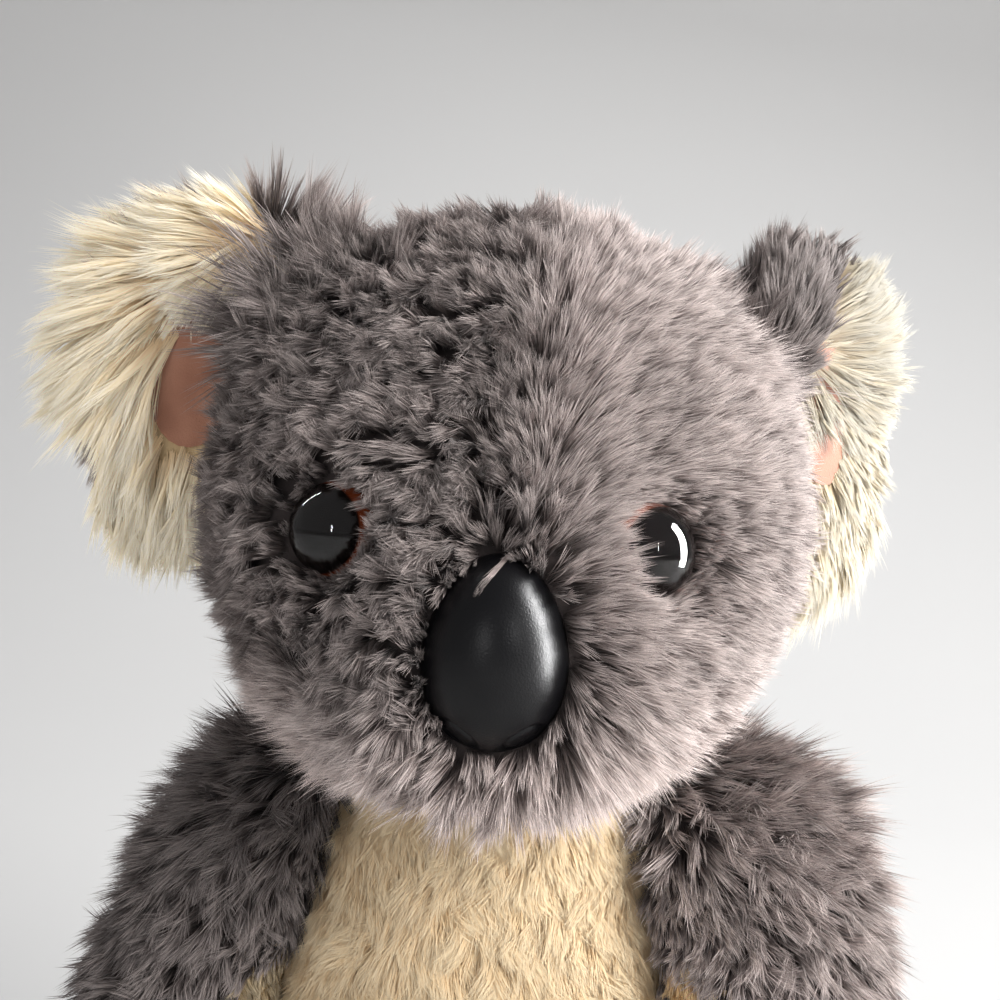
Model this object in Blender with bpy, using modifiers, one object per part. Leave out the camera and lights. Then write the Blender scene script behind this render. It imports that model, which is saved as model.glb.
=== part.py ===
"""A seated plush koala: pile-fabric skins over stuffing, with moulded eyes and nose.

The toy faces -Y and sits on z = 0, and left and right are its own, so its left is at +X.
Head, arms, legs and ears each hang on an empty that lies on their seam, where they turn.
"""

import math

import bmesh
import bpy
from mathutils import Matrix, Vector
from mathutils.bvhtree import BVHTree

for old in list(bpy.data.objects):
    bpy.data.objects.remove(old, do_unlink=True)

# Driving sizes in metres

GAP = 0.0003  # between pieces that touch
OVERRUN = 0.2  # how far a cutter runs on past what it cuts
FLOOR_CUT = 0.0005  # how much of a soft form the floor flattens
PILE_WALL = 0.006  # cloth backing and pile together

NECK_HEIGHT = 0.140  # seam between head and body above the floor
HEAD_WIDTH = 0.118
HEAD_HEIGHT = 0.116
HEAD_DEPTH = 0.104
HEAD_BACK = 0.046  # of that depth, behind the neck's axis
HEAD_SINK = 0.009  # how much of the round head the neck seam cuts away

TORSO_WIDTH = 0.096
TORSO_DEPTH = 0.090
TORSO_BACK = 0.044
TORSO_SINK = 0.009  # how much of the round body the neck seam cuts away
PELLET_HEIGHT = 0.032  # top of the pellet bag above the floor

BELLY_WIDTH = 0.076
BELLY_BOTTOM = 0.012
BELLY_TOP = 0.176  # of its whole oval, which the neck seam cuts off

ARM_LENGTH = 0.096
ARM_THICKNESS = 0.041
# From the innermost to the outermost point, before the seam cut
ARM_SPREADS = {"left": 0.052, "right": 0.047}
ARM_SINK = 0.0085  # how much of the arm the shoulder seam cuts away
ARM_HEEL = 0.018  # how far the arm reaches above its pivot
SHOULDER_OUT = 0.033
SHOULDER_BACK = -0.004
SHOULDER_HEIGHT = 0.118
SHOULDER_SLOPE = math.radians(12)
ARM_FORWARDS = {"left": math.radians(24), "right": math.radians(10)}

LEG_LENGTH = 0.098
LEG_THICKNESS = 0.039
LEG_SPREAD = 0.056
LEG_SINK = 0.010
LEG_HEEL = 0.020
HIP_OUT = 0.042
HIP_FORWARD = 0.012
HIP_SPLAY = math.radians(5)
HIP_CLEARANCE = 0.002  # round the leg's root in its seat

PALM_WIDTH = 0.020
PALM_LENGTH = 0.042
PALM_UP = 0.031  # middle of the palm above the end of the arm
PALM_INWARD = math.radians(48)
SOLE_WIDTH = 0.024
SOLE_HEIGHT = 0.030
SOLE_OUT = 0.031  # its middle from the hip seam's plane
SOLE_YAW = math.radians(16)

EYE_DIAMETER = 0.018
EYE_DOME = 0.0085
# From the middle of the face, because the right eye is sewn in further out
EYE_OUTS = {"left": 0.0277, "right": 0.0323}
EYE_HEIGHT = 0.0446  # above the neck seam
EYE_SEAT = 0.0044  # how deep its flange sits in the pile
EYE_YAW = math.radians(20)
EYE_PITCH = math.radians(4)
EYE_RIM = 0.0012  # thickness of the dome's straight edge

NOSE_WIDTH = 0.0264
NOSE_TALL = 0.0358
NOSE_DOME = 0.0125
NOSE_HEIGHT = 0.0256  # its middle above the neck seam
NOSE_SEAT = 0.0042
NOSE_PITCH = math.radians(-3)
NOSE_TAPER_SHARE = 0.14  # how much narrower its top and wider its foot are
NOSTRIL_OUT = 0.0052
NOSTRIL_DOWN = 0.0112
NOSTRIL_BEND = 0.0034
NOSTRIL_GROOVE = 0.0009

STEM_DIAMETER = 0.005
STEM_LENGTH = 0.014
BACKING = 0.0014  # cloth between a flange and its washer
WASHER_DIAMETER = 0.015
WASHER_THICKNESS = 0.0014

EAR_WIDTH = 0.050
EAR_HEIGHT = 0.072
EAR_THICKNESS = 0.013
EAR_REACH = 0.040  # from the base seam to the outer rim
EAR_ROOT_RADIUS = 0.005  # half its thickness where it meets the head
EAR_UP = 0.068  # middle of the base seam above the neck seam
EAR_BACK = 0.004
EAR_LIFT = math.radians(14)
EAR_SWEEPS = {"left": math.radians(42), "right": math.radians(6)}
EAR_FLOP = math.radians(12)  # how far an ear swings either way
LINING_WIDTH = 0.021
LINING_HEIGHT = 0.032
LINING_OUT = 0.0125  # its middle from the base seam
LINING_DEPTH = 0.0026  # of its pocket under the fur's crest
LINING_THICKNESS = 0.0013

# Soft forms, each a stack of rings. A row gives the place along the form, the ring's centre
# across it and its half widths across it, all as shares that the form's own box then scales.

HEAD_RING_SHARES = (
    (0.00, 0, 0.04, 0.46, 0.48),
    (0.20, 0, 0.05, 0.88, 0.90),
    (0.46, 0, 0.00, 1.04, 1.02),
    (0.72, 0, -0.08, 0.88, 0.84),
    (0.88, 0, -0.34, 0.56, 0.50),
    (1.00, 0, -0.42, 0.30, 0.32),
)
TORSO_RING_SHARES = (
    (0.00, 0, 0.00, 0.46, 0.46),
    (0.00, 0, 0.00, 0.84, 0.84),
    (0.22, 0, -0.06, 1.06, 1.06),
    (0.52, 0, -0.05, 0.93, 0.90),
    (0.80, 0, 0.02, 0.77, 0.70),
    (1.00, 0, 0.03, 0.50, 0.46),
)
ARM_RING_SHARES = (
    (0.00, 0.12, 0, 0.24, 0.26),
    (0.14, 0.16, 0, 0.38, 0.40),
    (0.42, 0.36, 0, 0.42, 0.46),
    (0.76, 0.44, 0, 0.48, 0.54),
    (1.00, 0.40, 0, 0.30, 0.34),
)
LEG_RING_SHARES = (
    (0.00, 0.12, 0.00, 0.30, 0.34),
    (0.18, 0.18, 0.00, 0.46, 0.50),
    (0.45, 0.48, -0.02, 0.43, 0.46),
    (0.82, 0.78, 0.06, 0.42, 0.56),
    (1.00, 0.84, 0.10, 0.28, 0.40),
)
BODY_RING_POINTS = 8
LIMB_RING_POINTS = 6
OUTER_LEVELS = 2
INNER_LEVELS = 1

# Sides of round and oval pieces

OUTLINE_SIDES = 32
SMALL_OUTLINE_SIDES = 20
LINING_SIDES = 28
WASHER_SIDES = 24
EAR_ROOT_SIDES = 24
STEM_SIDES = 16
TURNED_STEPS = 20
EYE_ARC_STEPS = 6
NOSE_SIDES = 24
NOSE_RINGS = 14
EAR_SIDES = 24
EAR_RINGS = 10
NOSTRIL_STEPS = 9
NOSTRIL_START = math.radians(-110)
NOSTRIL_SWEEP = math.radians(190)
SHARP_EDGE = math.radians(40)
WELD = 0.00001  # points of a turned piece closer than this are one

# Colours are linear red, green and blue

GREY_PILE = (0.155, 0.128, 0.125)
CREAM_PILE = (0.62, 0.50, 0.36)
PINK_SUEDE = (0.42, 0.22, 0.16)
EYE_BROWN = (0.030, 0.009, 0.006)
NOSE_BLACK = (0.012, 0.012, 0.013)
WASHER_WHITE = (0.70, 0.70, 0.68)
FIBRE_WHITE = (0.80, 0.79, 0.76)
BAG_LINEN = (0.55, 0.50, 0.42)


def new_collection(name):
    made = bpy.data.collections.new(name)
    bpy.context.scene.collection.children.link(made)
    return made


KOALA = new_collection("plush_koala")
CUTTERS = new_collection("cutters")


def new_material(name, colour, roughness):
    """A plain Principled material."""
    made = bpy.data.materials.new(name)
    made.use_nodes = True
    surface = made.node_tree.nodes["Principled BSDF"]
    surface.inputs["Base Color"].default_value = (*colour, 1)
    surface.inputs["Roughness"].default_value = roughness
    surface.inputs["Metallic"].default_value = 0
    return made


# Placing pieces


def pivot(name, matrix):
    """An empty on a seam, with its axes along the seam's own directions."""
    empty = bpy.data.objects.new(name, None)
    empty.matrix_world = matrix
    KOALA.objects.link(empty)
    return empty


def place(name, mesh, parent, collection, matrix=None):
    """A new object under its pivot. Its mesh is already in the pivot's axes unless a matrix is given."""
    made = bpy.data.objects.new(name, mesh)
    made.parent = parent
    if matrix is not None:
        made.matrix_basis = matrix
    collection.objects.link(made)
    return made


def piece(name, mesh, parent, colour, roughness, matrix=None):
    """A piece of the toy, with a material of its own."""
    made = place(name, mesh, parent, KOALA, matrix)
    mesh.materials.clear()
    mesh.materials.append(new_material(name, colour, roughness))
    mesh.shade_smooth()
    mesh.set_sharp_from_angle(angle=SHARP_EDGE)
    return made


def cutter(name, mesh, parent, matrix=None):
    """A shape that only cuts others."""
    made = place(name, mesh, parent, CUTTERS, matrix)
    made.hide_render = True
    made.display_type = "WIRE"
    return made


def combine(target, other, operation):
    """Cuts, keeps or joins with an exact Boolean."""
    step = target.modifiers.new(other.name, "BOOLEAN")
    step.operation = operation
    step.solver = "EXACT"
    step.object = other


def cut(target, *others):
    for other in others:
        combine(target, other, "DIFFERENCE")


# Simple meshes


def cylinder_mesh(name, width, depth, low, high, sides):
    """A closed cylinder along Z, round or oval, from low to high."""
    shape = bmesh.new()
    middle = Matrix.Translation((0, 0, (low + high) / 2))
    stretch = Matrix.Diagonal((width / 2, depth / 2, high - low, 1))
    bmesh.ops.create_cone(
        shape, cap_ends=True, segments=sides, radius1=1, radius2=1, depth=1, matrix=middle @ stretch
    )
    return finished(shape, name)


def box_mesh(name, low, high):
    """A box between two corners."""
    shape = bmesh.new()
    middle = (Vector(low) + Vector(high)) / 2
    stretch = Matrix.Diagonal((*(Vector(high) - Vector(low)), 1))
    bmesh.ops.create_cube(shape, size=1, matrix=Matrix.Translation(middle) @ stretch)
    return finished(shape, name)


def finished(shape, name):
    mesh = bpy.data.meshes.new(name)
    shape.to_mesh(mesh)
    shape.free()
    return mesh


def evaluated_mesh(source):
    """What an object's modifiers make of its mesh."""
    bpy.context.view_layer.update()
    graph = bpy.context.evaluated_depsgraph_get()
    return bpy.data.meshes.new_from_object(source.evaluated_get(graph), depsgraph=graph)


# Soft forms


def ring_cage(name, rings, points, side):
    """A coarse cage: a ring of points for each row of shares, with a cap at both ends."""
    shape = bmesh.new()
    loops = []
    for along, centre_x, centre_y, half_x, half_y in rings:
        turns = [math.tau * step / points for step in range(points)]
        loops.append(
            [
                shape.verts.new(
                    (centre_x + half_x * math.cos(turn), side * centre_y + half_y * math.sin(turn), along)
                )
                for turn in turns
            ]
        )
    for lower, upper in zip(loops, loops[1:]):
        for step in range(points):
            after = (step + 1) % points
            shape.faces.new((lower[step], lower[after], upper[after], upper[step]))
    shape.faces.new(reversed(loops[0]))
    shape.faces.new(loops[-1])
    return finished(shape, name)


def fit_to_box(mesh, low, high):
    """Stretches a mesh so that its bounds are exactly these corners."""
    places = [vertex.co for vertex in mesh.vertices]
    had_low = Vector([min(place[axis] for place in places) for axis in range(3)])
    had_high = Vector([max(place[axis] for place in places) for axis in range(3)])
    had, wanted = had_high - had_low, Vector(high) - Vector(low)
    stretch = Matrix.Diagonal([wanted[axis] / had[axis] for axis in range(3)]).to_4x4()
    mesh.transform(Matrix.Translation(low) @ stretch @ Matrix.Translation(-had_low))


def changed_mesh(name, mesh, kind, **settings):
    """A mesh with one modifier applied to it."""
    holder = bpy.data.objects.new(name, mesh)
    bpy.context.scene.collection.objects.link(holder)
    step = holder.modifiers.new(kind.lower(), kind)
    for setting, value in settings.items():
        setattr(step, setting, value)
    made = evaluated_mesh(holder)
    bpy.data.objects.remove(holder, do_unlink=True)
    made.name = name
    return made


def triangulated(mesh):
    """The same surface in triangles, so that copies of it at two depths never cross."""
    shape = bmesh.new()
    shape.from_mesh(mesh)
    bmesh.ops.triangulate(shape, faces=shape.faces[:])
    return finished(shape, mesh.name)


class SoftForm:
    """A swelling form and the hollow inside its cloth, in its pivot's axes."""

    def __init__(self, name, rings, points, low, high, side=1, turn=None):
        self.name = name
        cage = ring_cage(name, rings, points, side)
        self.outer = self.rounded(cage, OUTER_LEVELS, low, high, turn)
        self.coarse = triangulated(self.rounded(cage, INNER_LEVELS, low, high, turn))

    def rounded(self, cage, levels, low, high, turn):
        made = changed_mesh(self.name, cage, "SUBSURF", levels=levels, render_levels=levels)
        if turn is not None:
            made.transform(turn)
        fit_to_box(made, low, high)
        return made

    def inside(self, depth):
        """The form that lies this deep under the surface."""
        return changed_mesh(self.name, self.coarse, "DISPLACE", strength=-depth, mid_level=0)

    def surface_point(self, origin, direction):
        """Where a ray first meets the outer surface."""
        corners = [vertex.co for vertex in self.outer.vertices]
        faces = [face.vertices[:] for face in self.outer.polygons]
        return BVHTree.FromPolygons(corners, faces).ray_cast(Vector(origin), Vector(direction))[0]


def skin_and_stuffing(form, label, parent):
    """The cloth shell round a form's hollow, and the filling in it."""
    skin = piece(label.format("skin"), form.outer.copy(), parent, GREY_PILE, 0.95)
    hollow = cutter(label.format("hollow"), form.inside(PILE_WALL), parent)
    stuffing = piece(label.format("stuffing"), form.inside(PILE_WALL + GAP), parent, FIBRE_WHITE, 1.0)
    cut(skin, hollow)
    return skin, stuffing, hollow


def sewn_panel(name, skin, form, hollow, outline, parent, matrix):
    """A cream panel cut from the wall inside an outline, and the hole for it in the skin.

    The outline is width, height, and where its prism starts and ends along the matrix's Z axis.
    """
    width, height, start, end, sides = outline
    keep = cylinder_mesh(name + "_outline", width, height, start, end, sides)
    clear = cylinder_mesh(name + "_opening", width + 2 * GAP, height + 2 * GAP, start - GAP, end, sides)
    panel = piece(name, form.outer.copy(), parent, CREAM_PILE, 0.95)
    cut(panel, hollow)
    combine(panel, cutter(name + "_outline", keep, parent, matrix), "INTERSECT")
    cut(skin, cutter(name + "_opening", clear, parent, matrix))
    return panel


# The body, which stays still

FLOOR = cutter("floor_cutter", box_mesh("floor", (-OVERRUN, -OVERRUN, -OVERRUN), (OVERRUN, OVERRUN, 0)), None)


def build_torso():
    """Pear-shaped body with a cream front panel, a pellet bag below and filling above it."""
    form = SoftForm(
        "torso_form",
        TORSO_RING_SHARES,
        BODY_RING_POINTS,
        (-TORSO_WIDTH / 2, TORSO_BACK - TORSO_DEPTH, -FLOOR_CUT),
        (TORSO_WIDTH / 2, TORSO_BACK, NECK_HEIGHT + TORSO_SINK),
    )
    skin, stuffing, hollow = skin_and_stuffing(form, "torso_{}", None)
    front = Matrix.Rotation(math.pi / 2, 4, "X")
    middle = Matrix.Translation((0, 0, (BELLY_BOTTOM + BELLY_TOP) / 2))
    outline = (BELLY_WIDTH, BELLY_TOP - BELLY_BOTTOM, PILE_WALL, OVERRUN, OUTLINE_SIDES)
    panel = sewn_panel("belly_panel", skin, form, hollow, outline, None, middle @ front)

    over = (OVERRUN, OVERRUN, OVERRUN)
    under = (-OVERRUN, -OVERRUN, -OVERRUN)
    above_neck = box_mesh("above_neck", (-OVERRUN, -OVERRUN, NECK_HEIGHT - GAP / 2), over)
    above_bag = box_mesh("above_bag", (-OVERRUN, -OVERRUN, PELLET_HEIGHT - GAP / 2), over)
    below_stuffing = box_mesh("below_stuffing", under, (OVERRUN, OVERRUN, PELLET_HEIGHT + GAP / 2))
    neck_cutter = cutter("above_neck_cutter", above_neck, None)
    bag = piece("pellet_bag", stuffing.data.copy(), None, BAG_LINEN, 0.9)
    cut(bag, cutter("above_bag_cutter", above_bag, None))
    cut(stuffing, neck_cutter, cutter("below_stuffing_cutter", below_stuffing, None))
    cut(skin, neck_cutter, FLOOR)
    cut(panel, neck_cutter, FLOOR)
    return skin, panel, stuffing, bag


# Limbs


def seam_axes(origin, outward, along):
    """Axes of a seam: X leaves the body square to the seam, and Z runs along the limb."""
    across = along.cross(outward)
    axes = Matrix((outward, across, along)).transposed().to_4x4()
    return Matrix.Translation(origin) @ axes


def seam_cutters(label, parent, seat):
    """What takes the limb's side and the body's side of a seam away."""
    under = box_mesh(label + "_inner", (-OVERRUN, -OVERRUN, -OVERRUN), (GAP / 2, OVERRUN, OVERRUN))
    return cutter(label + "_limb_cutter", under, parent), cutter(label + "_seat_cutter", seat, parent)


def build_arm(side_name, side, torso):
    """An arm that hangs beside the body and swings in the plane of its shoulder seam."""
    outward = Vector((side * math.cos(SHOULDER_SLOPE), 0, math.sin(SHOULDER_SLOPE)))
    down = Vector((side * math.sin(SHOULDER_SLOPE), 0, -math.cos(SHOULDER_SLOPE)))
    origin = Vector((side * SHOULDER_OUT, SHOULDER_BACK, SHOULDER_HEIGHT))
    forward_turn = Matrix.Rotation(-side * ARM_FORWARDS[side_name], 4, "X")
    shoulder = pivot("shoulder_" + side_name, seam_axes(origin, outward, down) @ forward_turn)

    half = ARM_THICKNESS / 2
    spread = ARM_SPREADS[side_name]
    form = SoftForm(
        "arm_form_" + side_name,
        ARM_RING_SHARES,
        LIMB_RING_POINTS,
        (-ARM_SINK, -half, -ARM_HEEL),
        (spread - ARM_SINK, half, ARM_LENGTH - ARM_HEEL),
        side,
    )
    skin, stuffing, hollow = skin_and_stuffing(form, "arm_{}_" + side_name, shoulder)
    facing = Matrix.Rotation(side * PALM_INWARD, 4, "Z") @ Matrix.Rotation(side * -math.pi / 2, 4, "X")
    centre = Matrix.Translation((spread / 2 - ARM_SINK, 0, ARM_LENGTH - ARM_HEEL - PALM_UP))
    outline = (PALM_WIDTH, PALM_LENGTH, half / 4, OVERRUN, SMALL_OUTLINE_SIDES)
    panel = sewn_panel("palm_panel_" + side_name, skin, form, hollow, outline, shoulder, centre @ facing)

    seat = box_mesh("shoulder_seat", (-GAP / 2, -OVERRUN, -OVERRUN), (OVERRUN, OVERRUN, ARM_LENGTH - ARM_HEEL))
    limb_cutter, seat_cutter = seam_cutters("shoulder_" + side_name, shoulder, seat)
    for cloth in (skin, stuffing, panel):
        cut(cloth, limb_cutter)
    for layer in torso:
        cut(layer, seat_cutter)


def build_leg(side_name, side, torso):
    """A leg that lies forward on the floor and swings up and down about its hip seam."""
    outward = Vector((side * math.cos(HIP_SPLAY), math.sin(HIP_SPLAY), 0))
    forward = Vector((side * math.sin(HIP_SPLAY), -math.cos(HIP_SPLAY), 0))
    half = LEG_THICKNESS / 2
    origin = Vector((side * HIP_OUT, -HIP_FORWARD, half - FLOOR_CUT))
    hip = pivot("hip_" + side_name, seam_axes(origin, outward, forward))

    form = SoftForm(
        "leg_form_" + side_name,
        LEG_RING_SHARES,
        LIMB_RING_POINTS,
        (-LEG_SINK, -half, -LEG_HEEL),
        (LEG_SPREAD - LEG_SINK, half, LEG_LENGTH - LEG_HEEL),
        side,
    )
    skin, stuffing, hollow = skin_and_stuffing(form, "leg_{}_" + side_name, hip)
    toes = LEG_LENGTH - LEG_HEEL
    facing = Matrix.Rotation(SOLE_YAW, 4, "Y")
    centre = Matrix.Translation((SOLE_OUT, 0, toes - 2 * PILE_WALL)) @ facing
    outline = (SOLE_WIDTH, SOLE_HEIGHT, 0, OVERRUN, SMALL_OUTLINE_SIDES)
    panel = sewn_panel("foot_panel_" + side_name, skin, form, hollow, outline, hip, centre)

    root = LEG_THICKNESS + 2 * HIP_CLEARANCE
    seat = cylinder_mesh("hip_seat", root, root, -GAP / 2, OVERRUN, OUTLINE_SIDES)
    seat.transform(Matrix.Rotation(math.pi / 2, 4, "Y"))
    limb_cutter, seat_cutter = seam_cutters("hip_" + side_name, hip, seat)
    cut(skin, limb_cutter, FLOOR)
    cut(stuffing, limb_cutter)
    cut(panel, FLOOR)
    for layer in torso:
        cut(layer, seat_cutter)


# Moulded pieces on a stem


def seat_axes(point, facing, depth):
    """Axes of a flat seat sunk under the fur: Z leaves the face, and Y is up along it."""
    right = Vector((0, 0, 1)).cross(facing).normalized()
    up = facing.cross(right)
    axes = Matrix((right, up, facing)).transposed().to_4x4()
    return Matrix.Translation(Vector(point) - facing * depth) @ axes


def facing_direction(yaw, pitch):
    return Vector((math.sin(yaw) * math.cos(pitch), -math.cos(yaw) * math.cos(pitch), math.sin(pitch)))


def eye_mesh(name):
    """A dome on a short rim, with its stem behind, as a turned profile."""
    radius, stem = EYE_DIAMETER / 2, STEM_DIAMETER / 2
    arc = [math.pi / 2 * step / EYE_ARC_STEPS for step in range(EYE_ARC_STEPS + 1)]
    crown = EYE_DOME - EYE_RIM
    dome = [(radius * math.sin(turn), GAP + EYE_RIM + crown * math.cos(turn)) for turn in arc]
    return turned_mesh(name, [*dome, (radius, GAP), (stem, GAP), (stem, -STEM_LENGTH), (0, -STEM_LENGTH)])


def turned_mesh(name, outline):
    """A solid turned about Z from an outline of radius and height, listed from the top down."""
    profile = bmesh.new()
    corners = [profile.verts.new((radius, 0, height)) for radius, height in outline]
    for upper, lower in zip(corners, corners[1:]):
        profile.edges.new((upper, lower))
    turn = {"axis": "Z", "angle": math.tau, "steps": TURNED_STEPS, "render_steps": TURNED_STEPS}
    line = finished(profile, name)
    return changed_mesh(name, line, "SCREW", use_merge_vertices=True, merge_threshold=WELD, **turn)


def washer_mesh(name):
    """A lock washer with a hole for the stem."""
    outer, inner = WASHER_DIAMETER / 2, STEM_DIAMETER / 2 + GAP
    top = -BACKING - GAP
    bottom = top - WASHER_THICKNESS
    return turned_mesh(name, [(inner, top), (outer, top), (outer, bottom), (inner, bottom), (inner, top)])


def stem_and_washer(label, axes, pocket, skin, stuffing, head):
    """Cuts a moulded piece's pocket, its stem's way and the room for its washer, and adds the washer."""
    stem = STEM_DIAMETER + 2 * GAP
    washer_room = WASHER_DIAMETER + 2 * GAP
    far = STEM_LENGTH + GAP
    hole = cylinder_mesh(label + "_hole", stem, stem, -far, PILE_WALL, STEM_SIDES)
    room = cylinder_mesh(label + "_room", washer_room, washer_room, -far, -BACKING, WASHER_SIDES)
    under_washer = -BACKING - 2 * GAP - WASHER_THICKNESS
    well_top = OVERRUN / 8
    well = cylinder_mesh(label + "_well", washer_room, washer_room, under_washer, well_top, WASHER_SIDES)
    cut(
        skin,
        cutter(label + "_pocket", pocket, head, axes),
        cutter(label + "_hole", hole, head, axes),
        cutter(label + "_room", room, head, axes),
    )
    stem_way = cutter(label + "_stem_way", hole.copy(), head, axes)
    cut(stuffing, cutter(label + "_well", well, head, axes), stem_way)
    name = label.replace("eye_", "eye_washer_") if label.startswith("eye_") else label + "_washer"
    piece(name, washer_mesh(name), head, WASHER_WHITE, 0.4, axes)


def nose_form(name, margin, front):
    """An egg, narrower at its top, cut off square at its seat and grown by a margin."""
    shape = bmesh.new()
    half = (NOSE_WIDTH / 2 + margin, NOSE_TALL / 2 + margin, front)
    bmesh.ops.create_uvsphere(
        shape, u_segments=NOSE_SIDES, v_segments=NOSE_RINGS, radius=1, matrix=Matrix.Diagonal((*half, 1))
    )
    for vertex in shape.verts:
        rise = vertex.co.y / half[1]
        vertex.co.x *= 1 - NOSE_TAPER_SHARE * rise
    behind = GAP if margin == 0 else 0
    geometry = shape.verts[:] + shape.edges[:] + shape.faces[:]
    cut_edge = bmesh.ops.bisect_plane(
        shape, geom=geometry, plane_co=(0, 0, behind), plane_no=(0, 0, -1), clear_outer=True
    )["geom_cut"]
    bmesh.ops.contextual_create(shape, geom=[part for part in cut_edge if isinstance(part, bmesh.types.BMEdge)])
    bmesh.ops.recalc_face_normals(shape, faces=shape.faces[:])
    return finished(shape, name)


def nostril_mesh(name, side):
    """A bent groove that curls outward and up at the foot of the nose."""
    curve = bpy.data.curves.new(name, "CURVE")
    curve.dimensions = "3D"
    curve.bevel_depth = NOSTRIL_GROOVE
    curve.bevel_resolution = 2
    curve.use_fill_caps = True
    spline = curve.splines.new("POLY")
    spline.points.add(NOSTRIL_STEPS - 1)
    for step in range(NOSTRIL_STEPS):
        turn = NOSTRIL_START + NOSTRIL_SWEEP * step / (NOSTRIL_STEPS - 1)
        x = NOSTRIL_OUT + NOSTRIL_BEND * math.cos(turn)
        y = -NOSTRIL_DOWN + NOSTRIL_BEND * math.sin(turn)
        spline.points[step].co = (side * x, y, nose_height(side * x, y), 1)
    holder = bpy.data.objects.new(name, curve)
    bpy.context.scene.collection.objects.link(holder)
    mesh = evaluated_mesh(holder)
    bpy.data.objects.remove(holder, do_unlink=True)
    shape = bmesh.new()
    shape.from_mesh(mesh)
    bmesh.ops.remove_doubles(shape, verts=shape.verts[:], dist=NOSTRIL_GROOVE / 50)
    return finished(shape, name)


def nose_height(x, y):
    """How far the nose's dome stands above its seat at a place across it."""
    rise = y / (NOSE_TALL / 2)
    half = NOSE_WIDTH / 2 * (1 - NOSE_TAPER_SHARE * rise)
    return NOSE_DOME * math.sqrt(max(1 - (x / half) ** 2 - rise**2, 0))


def build_head(neck):
    """Round head with a muzzle, two eyes and a nose held by washers."""
    form = SoftForm(
        "head_form",
        HEAD_RING_SHARES,
        BODY_RING_POINTS,
        (-HEAD_WIDTH / 2, HEAD_BACK - HEAD_DEPTH, -HEAD_SINK),
        (HEAD_WIDTH / 2, HEAD_BACK, HEAD_HEIGHT - HEAD_SINK),
        turn=Matrix.Rotation(math.pi / 2, 4, "X"),
    )
    skin, stuffing, _ = skin_and_stuffing(form, "head_{}", neck)
    for side_name, side in (("left", 1), ("right", -1)):
        label = "eye_" + side_name
        point = form.surface_point((side * EYE_OUTS[side_name], -OVERRUN, EYE_HEIGHT), (0, 1, 0))
        axes = seat_axes(point, facing_direction(side * EYE_YAW, EYE_PITCH), EYE_SEAT)
        across = EYE_DIAMETER + 2 * GAP
        pocket = cylinder_mesh(label + "_pocket", across, across, 0, OVERRUN / 8, OUTLINE_SIDES)
        piece(label, eye_mesh(label), neck, EYE_BROWN, 0.08, axes)
        stem_and_washer(label, axes, pocket, skin, stuffing, neck)

    point = form.surface_point((0, -OVERRUN, NOSE_HEIGHT), (0, 1, 0))
    axes = seat_axes(point, facing_direction(0, NOSE_PITCH), NOSE_SEAT)
    nose = piece("nose", nose_form("nose", 0, NOSE_DOME), neck, NOSE_BLACK, 0.35, axes)
    stem = cylinder_mesh("nose_stem", STEM_DIAMETER, STEM_DIAMETER, -STEM_LENGTH, NOSE_DOME / 2, STEM_SIDES)
    combine(nose, cutter("nose_stem", stem, neck, axes), "UNION")
    for side_name, side in (("left", 1), ("right", -1)):
        label = "nostril_" + side_name
        cut(nose, cutter(label, nostril_mesh(label, side), neck, axes))
    pocket = nose_form("nose_pocket", GAP, OVERRUN / 4)
    stem_and_washer("nose", axes, pocket, skin, stuffing, neck)

    under = box_mesh("below_neck", (-OVERRUN, -OVERRUN, -OVERRUN), (OVERRUN, OVERRUN, GAP / 2))
    below = cutter("below_neck_cutter", under, neck)
    cut(skin, below)
    cut(stuffing, below)
    return form, skin, stuffing


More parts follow.
